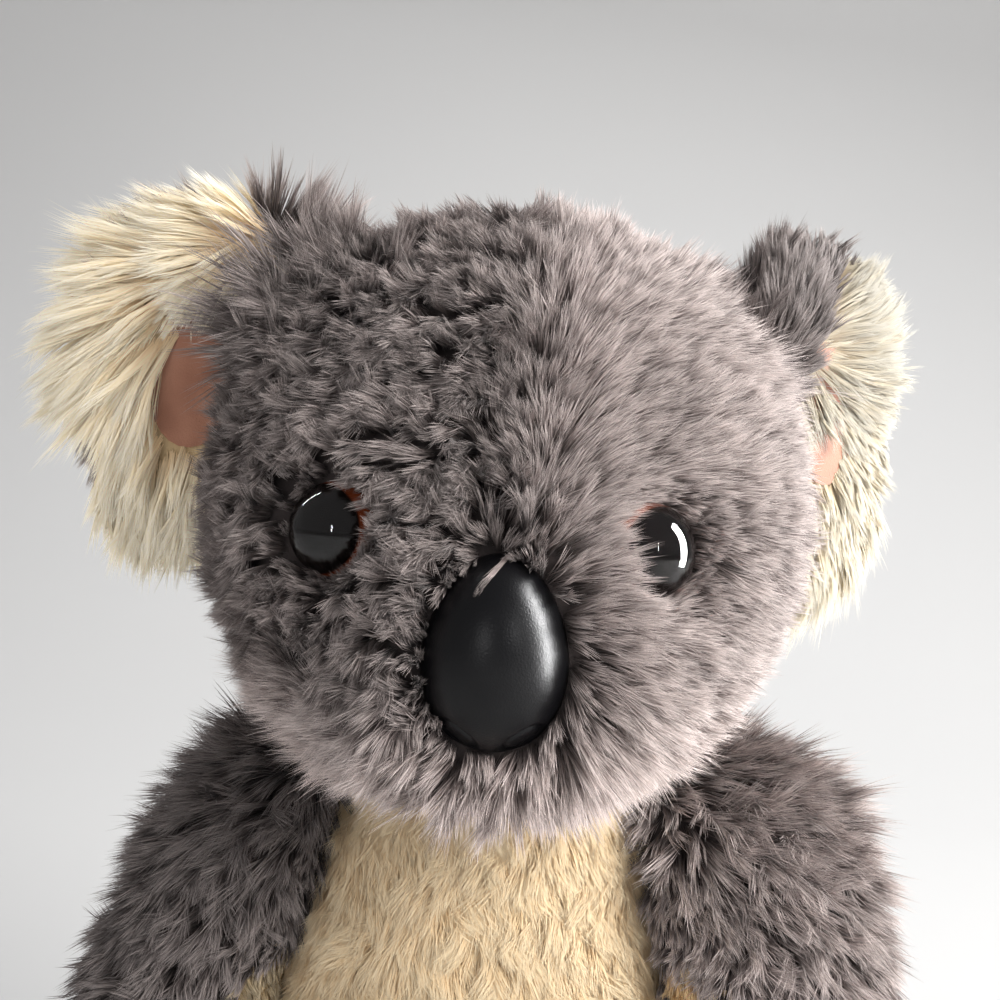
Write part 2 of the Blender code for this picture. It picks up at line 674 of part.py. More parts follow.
def build_ear(side_name, side, head_form, head_skin, head_stuffing, neck):
    """A flat round ear that flops about its base seam: grey behind, cream in front with a bare patch."""
    base = head_form.surface_point((side * OVERRUN, EAR_BACK, EAR_UP), (-side, 0, 0))
    sweep = EAR_SWEEPS[side_name]
    outward = Vector(
        (side * math.cos(sweep) * math.cos(EAR_LIFT), math.sin(sweep) * math.cos(EAR_LIFT), math.sin(EAR_LIFT))
    )
    front = Vector((side * math.sin(sweep), -math.cos(sweep), 0))
    along = front.cross(outward) * side
    axes = Matrix((outward, along.cross(outward), along)).transposed().to_4x4()
    seam = pivot("ear_seam_" + side_name, neck.matrix_world @ Matrix.Translation(base) @ axes)
    facing = -side  # the ear's front looks along this side of the seam's Y axis

    shape = bmesh.new()
    half = Matrix.Diagonal((EAR_WIDTH / 2, EAR_THICKNESS / 2, EAR_HEIGHT / 2, 1))
    middle = Matrix.Translation((EAR_REACH - EAR_WIDTH / 2, 0, 0))
    bmesh.ops.create_uvsphere(shape, u_segments=EAR_SIDES, v_segments=EAR_RINGS, radius=1, matrix=middle @ half)
    pillow = finished(shape, "ear_form_" + side_name)

    behind_seam = box_mesh("ear_inner", (-OVERRUN, -OVERRUN, -OVERRUN), (0, OVERRUN, OVERRUN))
    inner = cutter("ear_inner_" + side_name, behind_seam, seam)
    root = 2 * EAR_ROOT_RADIUS / math.cos(sweep + EAR_FLOP)
    round_root = cylinder_mesh("ear_root", root, root, -2 * OVERRUN, 2 * OVERRUN, EAR_ROOT_SIDES)
    cut(inner, cutter("ear_root_" + side_name, round_root, seam))
    low, high = sorted((facing * GAP / 2, facing * -OVERRUN))
    behind = box_mesh("ear_back_half", (-OVERRUN, low, -OVERRUN), (OVERRUN, high, OVERRUN))
    back_half = cutter("ear_back_half_" + side_name, behind, seam)
    low, high = sorted((facing * -GAP / 2, facing * OVERRUN))
    ahead = box_mesh("ear_front_half", (-OVERRUN, low, -OVERRUN), (OVERRUN, high, OVERRUN))
    front_half = cutter("ear_front_half_" + side_name, ahead, seam)

    back = piece("ear_back_" + side_name, pillow, seam, GREY_PILE, 0.95)
    cut(back, inner, front_half)
    ear_front = piece("ear_front_" + side_name, pillow.copy(), seam, CREAM_PILE, 0.95)
    cut(ear_front, inner, back_half)

    patch_turn = Matrix.Rotation(-facing * math.pi / 2, 4, "X")
    patch_axes = Matrix.Translation((LINING_OUT, 0, 0)) @ patch_turn
    floor = EAR_THICKNESS / 2 - LINING_DEPTH
    pocket = cylinder_mesh(
        "lining_pocket", LINING_WIDTH + 2 * GAP, LINING_HEIGHT + 2 * GAP, floor, EAR_THICKNESS, LINING_SIDES
    )
    cut(ear_front, cutter("lining_pocket_" + side_name, pocket, seam, patch_axes))
    top = floor + GAP + LINING_THICKNESS
    lining = cylinder_mesh("lining", LINING_WIDTH, LINING_HEIGHT, floor + GAP, top, LINING_SIDES)
    piece("ear_lining_" + side_name, lining, seam, PINK_SUEDE, 0.8, patch_axes)

    room = root + 2 * GAP
    groove = cylinder_mesh("ear_groove", room, room, -OVERRUN / 2, OVERRUN / 2, EAR_ROOT_SIDES)
    groove_cutter = cutter("ear_groove_" + side_name, groove, seam)
    cut(head_skin, groove_cutter)
    cut(head_stuffing, groove_cutter)


def build():
    torso = build_torso()
    for side_name, side in (("left", 1), ("right", -1)):
        build_arm(side_name, side, torso)
        build_leg(side_name, side, torso)
    neck = pivot("neck_seam", Matrix.Translation((0, 0, NECK_HEIGHT)))
    head_form, head_skin, head_stuffing = build_head(neck)
    for side_name, side in (("left", 1), ("right", -1)):
        build_ear(side_name, side, head_form, head_skin, head_stuffing, neck)


build()
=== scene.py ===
# %% [markdown]
# # A plush koala, piece by piece
# The toy is a sewn and stuffed koala. What the eye sees is almost all fur, so most of this lesson is
# about growing pile that lies, clumps and frays as plush does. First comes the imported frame, whose
# bodies and joints every piece here follows.

# %% Load the frame
import math

import bmesh
import bpy
import numpy as np
from mathutils import Matrix, Vector
from mathutils.bvhtree import BVHTree


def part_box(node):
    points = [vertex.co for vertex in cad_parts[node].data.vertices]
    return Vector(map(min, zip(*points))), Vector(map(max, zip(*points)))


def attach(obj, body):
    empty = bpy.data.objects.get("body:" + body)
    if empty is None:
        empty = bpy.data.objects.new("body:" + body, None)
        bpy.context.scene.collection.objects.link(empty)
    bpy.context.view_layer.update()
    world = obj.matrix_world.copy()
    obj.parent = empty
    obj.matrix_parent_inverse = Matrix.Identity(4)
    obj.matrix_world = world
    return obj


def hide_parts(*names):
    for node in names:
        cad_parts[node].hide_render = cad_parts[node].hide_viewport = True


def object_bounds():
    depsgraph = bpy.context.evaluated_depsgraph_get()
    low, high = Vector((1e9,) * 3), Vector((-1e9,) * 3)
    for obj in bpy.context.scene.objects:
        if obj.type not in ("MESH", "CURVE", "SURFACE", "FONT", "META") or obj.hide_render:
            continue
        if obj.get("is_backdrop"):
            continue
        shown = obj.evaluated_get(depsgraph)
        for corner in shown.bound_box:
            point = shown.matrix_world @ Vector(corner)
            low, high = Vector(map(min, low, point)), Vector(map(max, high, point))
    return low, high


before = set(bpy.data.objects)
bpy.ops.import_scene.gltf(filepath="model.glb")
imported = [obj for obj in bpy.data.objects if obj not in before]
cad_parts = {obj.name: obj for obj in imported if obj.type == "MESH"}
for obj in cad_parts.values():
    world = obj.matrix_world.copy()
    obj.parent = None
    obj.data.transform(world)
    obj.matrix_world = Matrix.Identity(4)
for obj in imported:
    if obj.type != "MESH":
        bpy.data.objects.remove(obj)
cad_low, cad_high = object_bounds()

MM = 0.001

# %% [markdown]
# ## Camera
# The toy was seen from close in front, a little from above and with the camera turned slightly, so
# the ears look small beside the muzzle. A short distance gives that look, and no lens setting can
# take its place. The roll is a turn about the camera's own axis.

# %% Camera
VIEW_ANGLE = math.radians(40)
CAMERA_AT = Vector((2.9, -293.9, 214.0)) * MM
CAMERA_YAW, CAMERA_PITCH, CAMERA_ROLL = math.radians(-0.9), math.radians(5), math.radians(3.6)


def look_matrix(place, yaw, pitch, roll):
    """Where a camera stands that looks along +Y, turned right by yaw, down by pitch and rolled."""
    turn = Matrix.Rotation(-yaw, 4, "Z") @ Matrix.Rotation(math.pi / 2 - pitch, 4, "X")
    return Matrix.Translation(place) @ turn @ Matrix.Rotation(roll, 4, "Z")


lens = bpy.data.cameras.new("camera")
lens.sensor_fit = "HORIZONTAL"
lens.angle = VIEW_ANGLE
lens.clip_start = 10 * MM
camera = bpy.data.objects.new("camera", lens)
camera.matrix_world = look_matrix(CAMERA_AT, CAMERA_YAW, CAMERA_PITCH, CAMERA_ROLL)
bpy.context.scene.collection.objects.link(camera)
bpy.context.scene.camera = camera
print("camera stands", round(-CAMERA_AT.y / MM), "mm in front of the neck")

# %% [markdown]
# ## Light and floor
# Fur needs a direction to its light, or its tufts melt into one grey. A broad key from the upper
# right draws their tips, a weaker fill from the left keeps the shaded side readable, and a pale
# world does the rest. Gloss needs something to mirror: a tall window at the right, a long tube high
# at the left and two narrow strips in front. Those are seen in the eyes and the nose and give the
# fur no light. The floor is a plain pale sheet that curves up behind the toy.

# %% Light and floor
scene = bpy.context.scene
scene.view_settings.view_transform = "Standard"
HEART = (0, 0, 0.15)


def soft_box(name, place, size, power, colour=(1, 1, 1), mirrored=False):
    """An area lamp of a width and height, turned towards the toy, that either lights it or is mirrored."""
    lamp = bpy.data.lights.new(name, "AREA")
    lamp.shape = "RECTANGLE"
    lamp.size, lamp.size_y = size
    lamp.energy = power
    lamp.color = colour
    holder = bpy.data.objects.new(name, lamp)
    facing = (Vector(HEART) - Vector(place)).to_track_quat("-Z", "Y")
    holder.matrix_world = Matrix.Translation(place) @ facing.to_matrix().to_4x4()
    holder.visible_diffuse, holder.visible_glossy = not mirrored, mirrored
    holder.visible_camera = False
    scene.collection.objects.link(holder)


soft_box("key_light", (0.85, -0.50, 0.65), (0.6, 0.6), 17, (1.0, 0.985, 0.965))
soft_box("fill_light", (-0.8, -0.7, 0.35), (0.8, 0.8), 2.4)
soft_box("top_light", (0.1, 0.5, 1.0), (0.6, 0.6), 6)
soft_box("side_light", (1.0, 0.35, 0.25), (0.5, 0.9), 5)
soft_box("tall_window", (0.51, -0.04, 0.26), (0.17, 0.66), 25, mirrored=True)
soft_box("long_tube", (-0.82, 0.25, 0.85), (0.035, 0.6), 2.4, mirrored=True)
soft_box("front_strip_1", (-0.36, -1.13, 0.30), (0.035, 0.26), 1.2, mirrored=True)
soft_box("front_strip_2", (0.60, -1.00, 0.45), (0.035, 0.26), 1.2, mirrored=True)

world = bpy.data.worlds.new("pale_room")
world.use_nodes = True
scene.world = world
room = world.node_tree.nodes["Background"]
room.inputs["Color"].default_value = (0.81, 0.80, 0.80, 1)
room.inputs["Strength"].default_value = 0.40


def plain_material(name, colour, roughness):
    """A Principled material and its surface node."""
    made = bpy.data.materials.new(name)
    made.use_nodes = True
    surface = made.node_tree.nodes["Principled BSDF"]
    surface.inputs["Base Color"].default_value = (*colour, 1)
    surface.inputs["Roughness"].default_value = roughness
    return made, surface


def object_from(shape, name):
    """A linked object from a bmesh, which is freed."""
    mesh = bpy.data.meshes.new(name)
    shape.to_mesh(mesh)
    shape.free()
    made = bpy.data.objects.new(name, mesh)
    scene.collection.objects.link(made)
    return made


def sweep_floor():
    """A floor that turns up into a backdrop in one smooth bend."""
    half_width, front, back, rise, bend = 3.0, -3.0, 1.2, 2.4, 0.8
    profile = [(front, 0.0)]
    steps = 12
    for step in range(steps + 1):
        turn = math.pi / 2 * step / steps
        profile.append((back - bend + bend * math.sin(turn), bend - bend * math.cos(turn)))
    profile.append((back, rise))
    shape = bmesh.new()
    rows = [[shape.verts.new((x, y, z)) for x in (-half_width, half_width)] for y, z in profile]
    for lower, upper in zip(rows, rows[1:]):
        shape.faces.new((lower[0], lower[1], upper[1], upper[0]))
    made = object_from(shape, "floor")
    made.data.shade_smooth()
    made.data.materials.append(plain_material("floor_paper", (0.60, 0.60, 0.60), 0.9)[0])
    made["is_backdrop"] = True


sweep_floor()

# %% [markdown]
# ## Node groups
# Two effects serve several materials. fibre_tone colours a strand of pile from its dark root, painted
# shade, to its pale tip, painted light, and shifts it by a shade of its own. That shade is partly
# random, as dyed fibres differ, and partly painted light and shade where a side or region of the pile
# is set lighter or darker. fine_grain gives the small unevenness of cloth backing, suede and moulded
# plastic. Both put out only colours and heights.

# %% Node groups


def new_group(name, inputs, outputs):
    """An empty shader group with named sockets, each given as name, kind and default."""
    group = bpy.data.node_groups.new(name, "ShaderNodeTree")
    for label, kind, default in inputs:
        socket = group.interface.new_socket(label, in_out="INPUT", socket_type="NodeSocket" + kind)
        socket.default_value = default
    for label, kind in outputs:
        group.interface.new_socket(label, in_out="OUTPUT", socket_type="NodeSocket" + kind)
    return group, group.nodes.new("NodeGroupInput"), group.nodes.new("NodeGroupOutput")


def feed(tree, socket, value):
    """Links a socket to a node's output, or sets it to a number or colour."""
    if isinstance(value, bpy.types.NodeSocket):
        tree.links.new(value, socket)
    else:
        socket.default_value = value


def mixed(tree, share, first, second):
    """A colour mix node fed by a share and two colours, each a socket or a value."""
    node = tree.nodes.new("ShaderNodeMix")
    node.data_type = "RGBA"
    for socket, value in (("Factor", share), (6, first), (7, second)):
        feed(tree, node.inputs[socket], value)
    return node.outputs[2]


def spread(tree, value, low, high, to_low=0.0, to_high=1.0):
    """Maps a range of values to another, smoothly and without overshoot."""
    node = tree.nodes.new("ShaderNodeMapRange")
    node.interpolation_type = "SMOOTHSTEP"
    for label, number in (("From Min", low), ("From Max", high), ("To Min", to_low), ("To Max", to_high)):
        node.inputs[label].default_value = number
    feed(tree, node.inputs["Value"], value)
    return node.outputs["Result"]


def make_fibre_tone():
    colour = (0.2, 0.2, 0.2, 1)
    group, given, put = new_group(
        "fibre_tone",
        [("Root", "Color", colour), ("Middle", "Color", colour), ("Tip", "Color", colour),
         ("Along", "Float", 0.5), ("Shade", "Float", 0.5)],
        [("Color", "Color")],
    )
    labels = ("Root", "Middle", "Tip", "Along", "Shade")
    root, middle, tip, along, shade = (given.outputs[label] for label in labels)
    # Painted shade and light: the strand darkens towards its root for the shade between tufts, and pales
    # towards its tip for the light its cut end catches.
    lower = mixed(group, spread(group, along, 0.05, 0.6), root, middle)
    upper = mixed(group, spread(group, along, 0.5, 1.0), lower, tip)
    lit = group.nodes.new("ShaderNodeVectorMath")
    lit.operation = "SCALE"
    group.links.new(upper, lit.inputs[0])
    group.links.new(spread(group, shade, 0.0, 1.0, 0.45, 1.45), lit.inputs["Scale"])
    group.links.new(lit.outputs[0], put.inputs["Color"])
    return group


def make_fine_grain():
    group, given, put = new_group(
        "fine_grain",
        [("Size", "Float", 1500.0), ("Contrast", "Float", 0.5)],
        [("Height", "Float"), ("Mask", "Float")],
    )
    place = group.nodes.new("ShaderNodeTexCoord")
    fine = group.nodes.new("ShaderNodeTexNoise")
    fine.inputs["Detail"].default_value = 4
    group.links.new(place.outputs["Object"], fine.inputs["Vector"])
    group.links.new(given.outputs["Size"], fine.inputs["Scale"])
    broad = group.nodes.new("ShaderNodeTexNoise")
    broad.inputs["Scale"].default_value = 60
    broad.inputs["Detail"].default_value = 2
    group.links.new(place.outputs["Object"], broad.inputs["Vector"])
    strength = group.nodes.new("ShaderNodeMath")
    strength.operation = "MULTIPLY"
    group.links.new(fine.outputs["Fac"], strength.inputs[0])
    group.links.new(given.outputs["Contrast"], strength.inputs[1])
    group.links.new(strength.outputs[0], put.inputs["Height"])
    group.links.new(spread(group, broad.outputs["Fac"], 0.35, 0.65), put.inputs["Mask"])
    return group


FIBRE_TONE = make_fibre_tone()
FINE_GRAIN = make_fine_grain()
print("groups:", FIBRE_TONE.name, FINE_GRAIN.name)

# %% [markdown]
# ## Materials of the pile and the cloth
# Plush fibre is matt polyester. Its colour is painted dark towards the root, as painted shade between
# the tufts where little light gets in, and pale at the cut tip, as painted light that the tips scatter.
# A slight sheen stands for the fuzz. Each strand carries two numbers in its mesh, how far along it a
# point is and its own shade, and the material needs nothing else. That shade is partly the fibre's
# own random tone and partly painted light and shade of a side or region.

# %% Pile and cloth materials


def placed_group(tree, group, values):
    """A group node with its inputs linked or set by name."""
    node = tree.nodes.new("ShaderNodeGroup")
    node.node_tree = group
    for label, value in values.items():
        feed(tree, node.inputs[label], value)
    return node


def mesh_number(tree, name):
    """A number that the mesh itself carries at each point."""
    node = tree.nodes.new("ShaderNodeAttribute")
    node.attribute_name = name
    return node.outputs["Fac"]


def fibre_material(name, root, middle, tip):
    made, surface = plain_material(name, middle, 0.6)
    tree = made.node_tree
    values = {"Root": (*root, 1), "Middle": (*middle, 1), "Tip": (*tip, 1)}
    values["Along"], values["Shade"] = mesh_number(tree, "along"), mesh_number(tree, "shade")
    tree.links.new(placed_group(tree, FIBRE_TONE, values).outputs["Color"], surface.inputs["Base Color"])
    surface.inputs["Specular IOR Level"].default_value = 0.10
    surface.inputs["Sheen Weight"].default_value = 0.25
    surface.inputs["Sheen Roughness"].default_value = 0.5
    return made


def grained_material(name, dark, light, roughness, size, contrast, depth):
    """Two close colours in soft patches over a fine bump."""
    made, surface = plain_material(name, light, roughness)
    tree = made.node_tree
    grain = placed_group(tree, FINE_GRAIN, {"Size": size, "Contrast": contrast})
    patches = mixed(tree, grain.outputs["Mask"], (*dark, 1), (*light, 1))
    tree.links.new(patches, surface.inputs["Base Color"])
    bump = tree.nodes.new("ShaderNodeBump")
    bump.inputs["Distance"].default_value = depth
    tree.links.new(grain.outputs["Height"], bump.inputs["Height"])
    tree.links.new(bump.outputs["Normal"], surface.inputs["Normal"])
    return made


# The root colours are painted shade between the tufts and the tip colours painted light on the cut tips;
# the middle colours are the fibres' own.
GREY_FIBRE = fibre_material("grey_fibre", (0.035, 0.026, 0.024), (0.215, 0.175, 0.165), (0.70, 0.61, 0.585))
CREAM_FIBRE = fibre_material("cream_fibre", (0.83, 0.60, 0.33), (0.90, 0.70, 0.44), (0.93, 0.79, 0.56))
LOCK_FIBRE = fibre_material("ear_lock_fibre", (0.76, 0.56, 0.33), (0.94, 0.82, 0.60), (0.97, 0.92, 0.79))
WOVEN = (0.95, 1800, 1.0, 0.2 * MM)  # roughness, grain size, contrast and depth
BRUSHED = (0.92, 2600, 1.0, 0.15 * MM)
GREY_CLOTH = grained_material("grey_backing", (0.040, 0.031, 0.030), (0.065, 0.052, 0.050), *WOVEN)
CREAM_CLOTH = grained_material("cream_backing", (0.60, 0.43, 0.23), (0.70, 0.52, 0.30), *WOVEN)
SUEDE = grained_material("pink_suede", (0.35, 0.150, 0.095), (0.54, 0.265, 0.175), *BRUSHED)
print("materials:", len(bpy.data.materials))

# %% [markdown]
# ## Stuffed skins
# Under the pile lies sewn cloth, blown up tight by its filling. Each skin starts as a copy of the
# frame's shell and filling, welded into one skin by a voxel remesh, and is then inflated as cloth
# with a little pressure. Where a seam or a plastic piece holds the cloth, it isn't allowed to move.

# %% Stuffed skins
CLOTH_FRAMES = 20
WELD = 0.001 * MM


def joined_nodes(name, nodes):
    """One object that holds the welded meshes of several frame nodes."""
    shape = bmesh.new()
    for node in nodes:
        shape.from_mesh(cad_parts[node].data)
    bmesh.ops.remove_doubles(shape, verts=shape.verts[:], dist=WELD)
    return object_from(shape, name)


def apply_modifier(target, kind, **settings):
    step = target.modifiers.new(kind.lower(), kind)
    for setting, value in settings.items():
        setattr(step, setting, value)
    graph = bpy.context.evaluated_depsgraph_get()
    mesh = bpy.data.meshes.new_from_object(target.evaluated_get(graph), depsgraph=graph)
    target.modifiers.clear()
    target.data = mesh


def keep_largest(target):
    """Drops every loose shell but the one with the most points."""
    shape = bmesh.new()
    shape.from_mesh(target.data)
    shape.verts.ensure_lookup_table()
    unseen, best = set(range(len(shape.verts))), []
    while unseen:
        found = [unseen.pop()]
        for index in found:
            for edge in shape.verts[index].link_edges:
                other = edge.other_vert(shape.verts[index]).index
                if other in unseen:
                    unseen.discard(other)
                    found.append(other)
        best = max(best, found, key=len)
    kept = set(best)
    dropped = [vert for vert in shape.verts if vert.index not in kept]
    bmesh.ops.delete(shape, geom=dropped, context="VERTS")
    shape.to_mesh(target.data)
    shape.free()


def smooth_step(value, low, high):
    share = np.clip((value - low) / (high - low), 0, 1)
    return share * share * (3 - 2 * share)


def places_of(mesh):
    places = np.empty(len(mesh.vertices) * 3)
    mesh.vertices.foreach_get("co", places)
    return places.reshape(-1, 3)


def set_places(mesh, places):
    mesh.vertices.foreach_set("co", places.astype(np.float32).ravel())
    mesh.update()


def inflate(target, pressure, cap, free):
    """Blows the cloth up for a few frames and moves each point at most cap, times its share in free."""
    before = places_of(target.data)
    step = target.modifiers.new("cloth", "CLOTH")
    step.settings.use_pressure = True
    step.settings.uniform_pressure_force = pressure
    step.settings.effector_weights.gravity = 0
    step.settings.tension_stiffness = step.settings.compression_stiffness = 20
    for number in range(1, CLOTH_FRAMES + 1):
        scene.frame_set(number)
    graph = bpy.context.evaluated_depsgraph_get()
    after = places_of(target.evaluated_get(graph).data)
    target.modifiers.clear()
    scene.frame_set(1)
    move = (after - before) * free[:, None]
    length = np.linalg.norm(move, axis=1, keepdims=True)
    set_places(target.data, before + move * np.minimum(1, cap / np.maximum(length, 1e-9)))


def nearest_distance(points, node):
    """How far each point is from a frame node's surface."""
    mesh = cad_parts[node].data
    tree = BVHTree.FromPolygons([v.co for v in mesh.vertices], [p.vertices[:] for p in mesh.polygons])
    return np.array([tree.find_nearest(Vector(point))[3] for point in points])


def stuffed_skin(name, nodes, held_by, swell, voxel=4 * MM):
    """A padded skin in the form of several nodes, held still near the nodes in held_by."""
    made = joined_nodes(name, nodes)
    apply_modifier(made, "REMESH", mode="VOXEL", voxel_size=voxel)
    keep_largest(made)
    apply_modifier(made, "SMOOTH", factor=0.5, iterations=3)
    places = places_of(made.data)
    free = np.ones(len(places))
    for node in held_by:
        free = np.minimum(free, np.clip((nearest_distance(places, node) - 2 * MM) / (6 * MM), 0, 1))
    inflate(made, 4.0, swell, free)
    apply_modifier(made, "SUBSURF", levels=1)
    places = places_of(made.data)
    places[:, 2] = np.maximum(places[:, 2], 0)
    set_places(made.data, places)
    made.data.shade_smooth()
    return made


def fill_shoulder(skin, side, share):
    """Rounds an arm's upper outer side, where the filling has been pushed up."""
    places = places_of(skin.data)
    outer = smooth_step(side * places[:, 0], 0.040, 0.064) * smooth_step(places[:, 2], 0.090, 0.122)
    places += np.array([side * 7.0, 0, 6.0]) * MM * (outer * share)[:, None]
    set_places(skin.data, places)


def dish_skin(skin, axes, radius, edge=3 * MM):
    """Presses the cloth down to a plastic piece's seat, as its washer pulls it in."""
    turn, seat = np.array(axes.to_3x3()), np.array(axes.translation)
    local = (places_of(skin.data) - seat) @ turn
    off_axis = np.hypot(local[:, 0], local[:, 1])
    above = (local[:, 2] > 0) & (local[:, 2] < 2 * radius)
    local[:, 2] *= np.where(above, smooth_step(off_axis, radius, radius + edge), 1)
    set_places(skin.data, local @ turn.T + seat)


def nearer_panel(points, panel, skin):
    """True where a point lies on the cream panel and not on the grey skin."""
    return nearest_distance(points, panel) < nearest_distance(points, skin)


def clothe(made, body, replaced, panel, skin):
    """Gives a skin its body and nodes, and its cloth: grey, and cream where it lies on the panel."""
    made.data.materials.clear()
    for cloth in (GREY_CLOTH, CREAM_CLOTH):
        made.data.materials.append(cloth)
    if panel:
        centres = np.array([face.center for face in made.data.polygons])
        cream = nearer_panel(centres, panel, skin).astype(np.int32)
        made.data.polygons.foreach_set("material_index", cream)
    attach(made, body)
    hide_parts(*replaced)


SIDES = {"left": 1, "right": -1}
SHOULDER_FILLS = {"left": 1.0, "right": 0.3}
skins = {}
head_nodes = ["head_skin", "head_stuffing"]
on_head = ["torso_skin", "nose", "eye_left", "eye_right"]
skins["head"] = stuffed_skin("head_cloth", head_nodes, on_head, 2 * MM)
clothe(skins["head"], "head", head_nodes, None, None)
torso_nodes = ["torso_skin", "belly_panel", "torso_stuffing", "pellet_bag"]
limb_skins = ["arm_skin_left", "arm_skin_right", "leg_skin_left", "leg_skin_right"]
skins["torso"] = stuffed_skin("torso_cloth", torso_nodes, ["head_skin", *limb_skins], 2 * MM)
clothe(skins["torso"], "torso", torso_nodes, "belly_panel", "torso_skin")
for side_name in SIDES:
    for limb, panel in (("arm", "palm"), ("leg", "foot")):
        nodes = [f"{limb}_skin_{side_name}", f"{limb}_stuffing_{side_name}", f"{panel}_panel_{side_name}"]
        skin = stuffed_skin(f"{limb}_cloth_{side_name}", nodes, ["torso_skin"], 1.5 * MM)
        clothe(skin, f"{limb}_{side_name}_body", nodes, nodes[2], nodes[0])
        if limb == "arm":
            fill_shoulder(skin, SIDES[side_name], SHOULDER_FILLS[side_name])
        skins[f"{limb}_{side_name}"] = skin
    nodes = [f"ear_back_{side_name}", f"ear_front_{side_name}"]
    held_by = ["head_skin", f"ear_lining_{side_name}"]
    skin = stuffed_skin(f"ear_cloth_{side_name}", nodes, held_by, 1 * MM, voxel=2.5 * MM)
    clothe(skin, f"ear_{side_name}_body", nodes, nodes[1], nodes[0])
    skins["ear_" + side_name] = skin
for label, skin in skins.items():
    low, high = Vector(skin.bound_box[0]), Vector(skin.bound_box[6])
    size = [round(side / MM) for side in high - low]
    print(label, "skin:", size, "mm,", len(skin.data.vertices), "points")

# %% [markdown]
# ## Growing pile
# Real plush is woven with thousands of fibres that stick together in small tufts. A particle system
# would draw them, but it can't be handed on as a solid mesh, so each strand here is a thin bent
# blade. Tufts are placed first: a root on the cloth, the way it lies, how steeply it stands, how far
# it bows over and how it curls. Each tuft splits into wisps, and each wisp into strands that close
# in on one another towards the tip, so the fur shows streaks inside its tufts, as the real one does.

# %% Growing pile


class Roots:
    """Where tufts leave a skin: places and normals."""

    def __init__(self, places, normals):
        self.places, self.normals = places, normals

    def kept(self, mask):
        return Roots(self.places[mask], self.normals[mask])

    def __len__(self):
        return len(self.places)


def unit(vectors):
    return vectors / np.maximum(np.linalg.norm(vectors, axis=-1, keepdims=True), 1e-9)


def scatter(skin, spacing, draw):
    """Roots spread over a skin about a spacing apart, one in each small cell of space it passes through."""
    mesh = skin.data
    mesh.calc_loop_triangles()
    corners = np.empty(len(mesh.loop_triangles) * 3, np.int32)
    mesh.loop_triangles.foreach_get("vertices", corners)
    corners = corners.reshape(-1, 3)
    places = places_of(mesh)
    normals = np.empty(len(mesh.vertices) * 3)
    mesh.vertex_normals.foreach_get("vector", normals)
    normals = normals.reshape(-1, 3)
    a, b, c = (places[corners[:, k]] for k in range(3))
    areas = np.linalg.norm(np.cross(b - a, c - a), axis=1) / 2
    count = int(areas.sum() / spacing**2 * 5)
    chosen = np.searchsorted(np.cumsum(areas) / areas.sum(), draw.random(count))
    chosen = np.minimum(chosen, len(areas) - 1)
    first, second = np.sqrt(draw.random(count)), draw.random(count)
    weights = np.stack([1 - first, first * (1 - second), first * second], 1)
    spots = sum(places[corners[chosen, k]] * weights[:, k : k + 1] for k in range(3))
    facing = sum(normals[corners[chosen, k]] * weights[:, k : k + 1] for k in range(3))
    cells = np.floor(spots / spacing).astype(np.int64)
    keys = (cells[:, 0] * 4001 + cells[:, 1]) * 4001 + cells[:, 2]
    _, first_of = np.unique(keys, return_index=True)
    first_of.sort()
    return Roots(spots[first_of], unit(facing[first_of]))


def along_skin(vectors, normals):
    """The part of each vector that lies in the skin, at length one."""
    return unit(vectors - normals * np.sum(vectors * normals, axis=1, keepdims=True))


def turned(vectors, normals, angles):
    """Vectors in the skin turned about its normals."""
    across = np.cross(normals, vectors)
    return vectors * np.cos(angles)[:, None] + across * np.sin(angles)[:, None]


def drift(places, size, seed):
    """Smooth unevenness between -1 and 1 over distances of about size, the same each run."""
    dice = np.random.default_rng(seed)
    total = np.zeros(len(places))
    for _ in range(7):
        way = unit(dice.normal(size=3)) * math.tau / size * dice.uniform(0.6, 1.5)
        total += np.sin(places @ way + dice.uniform(0, math.tau))
    return np.clip(total / 3, -1, 1)


BAKE_STRIPS = 32  # shades that a baked map of the pile can tell apart
LEVELS = (0.12, 0.64, 1.0)
WISP = 7  # strands
MOST_STRANDS = 62000  # in one piece


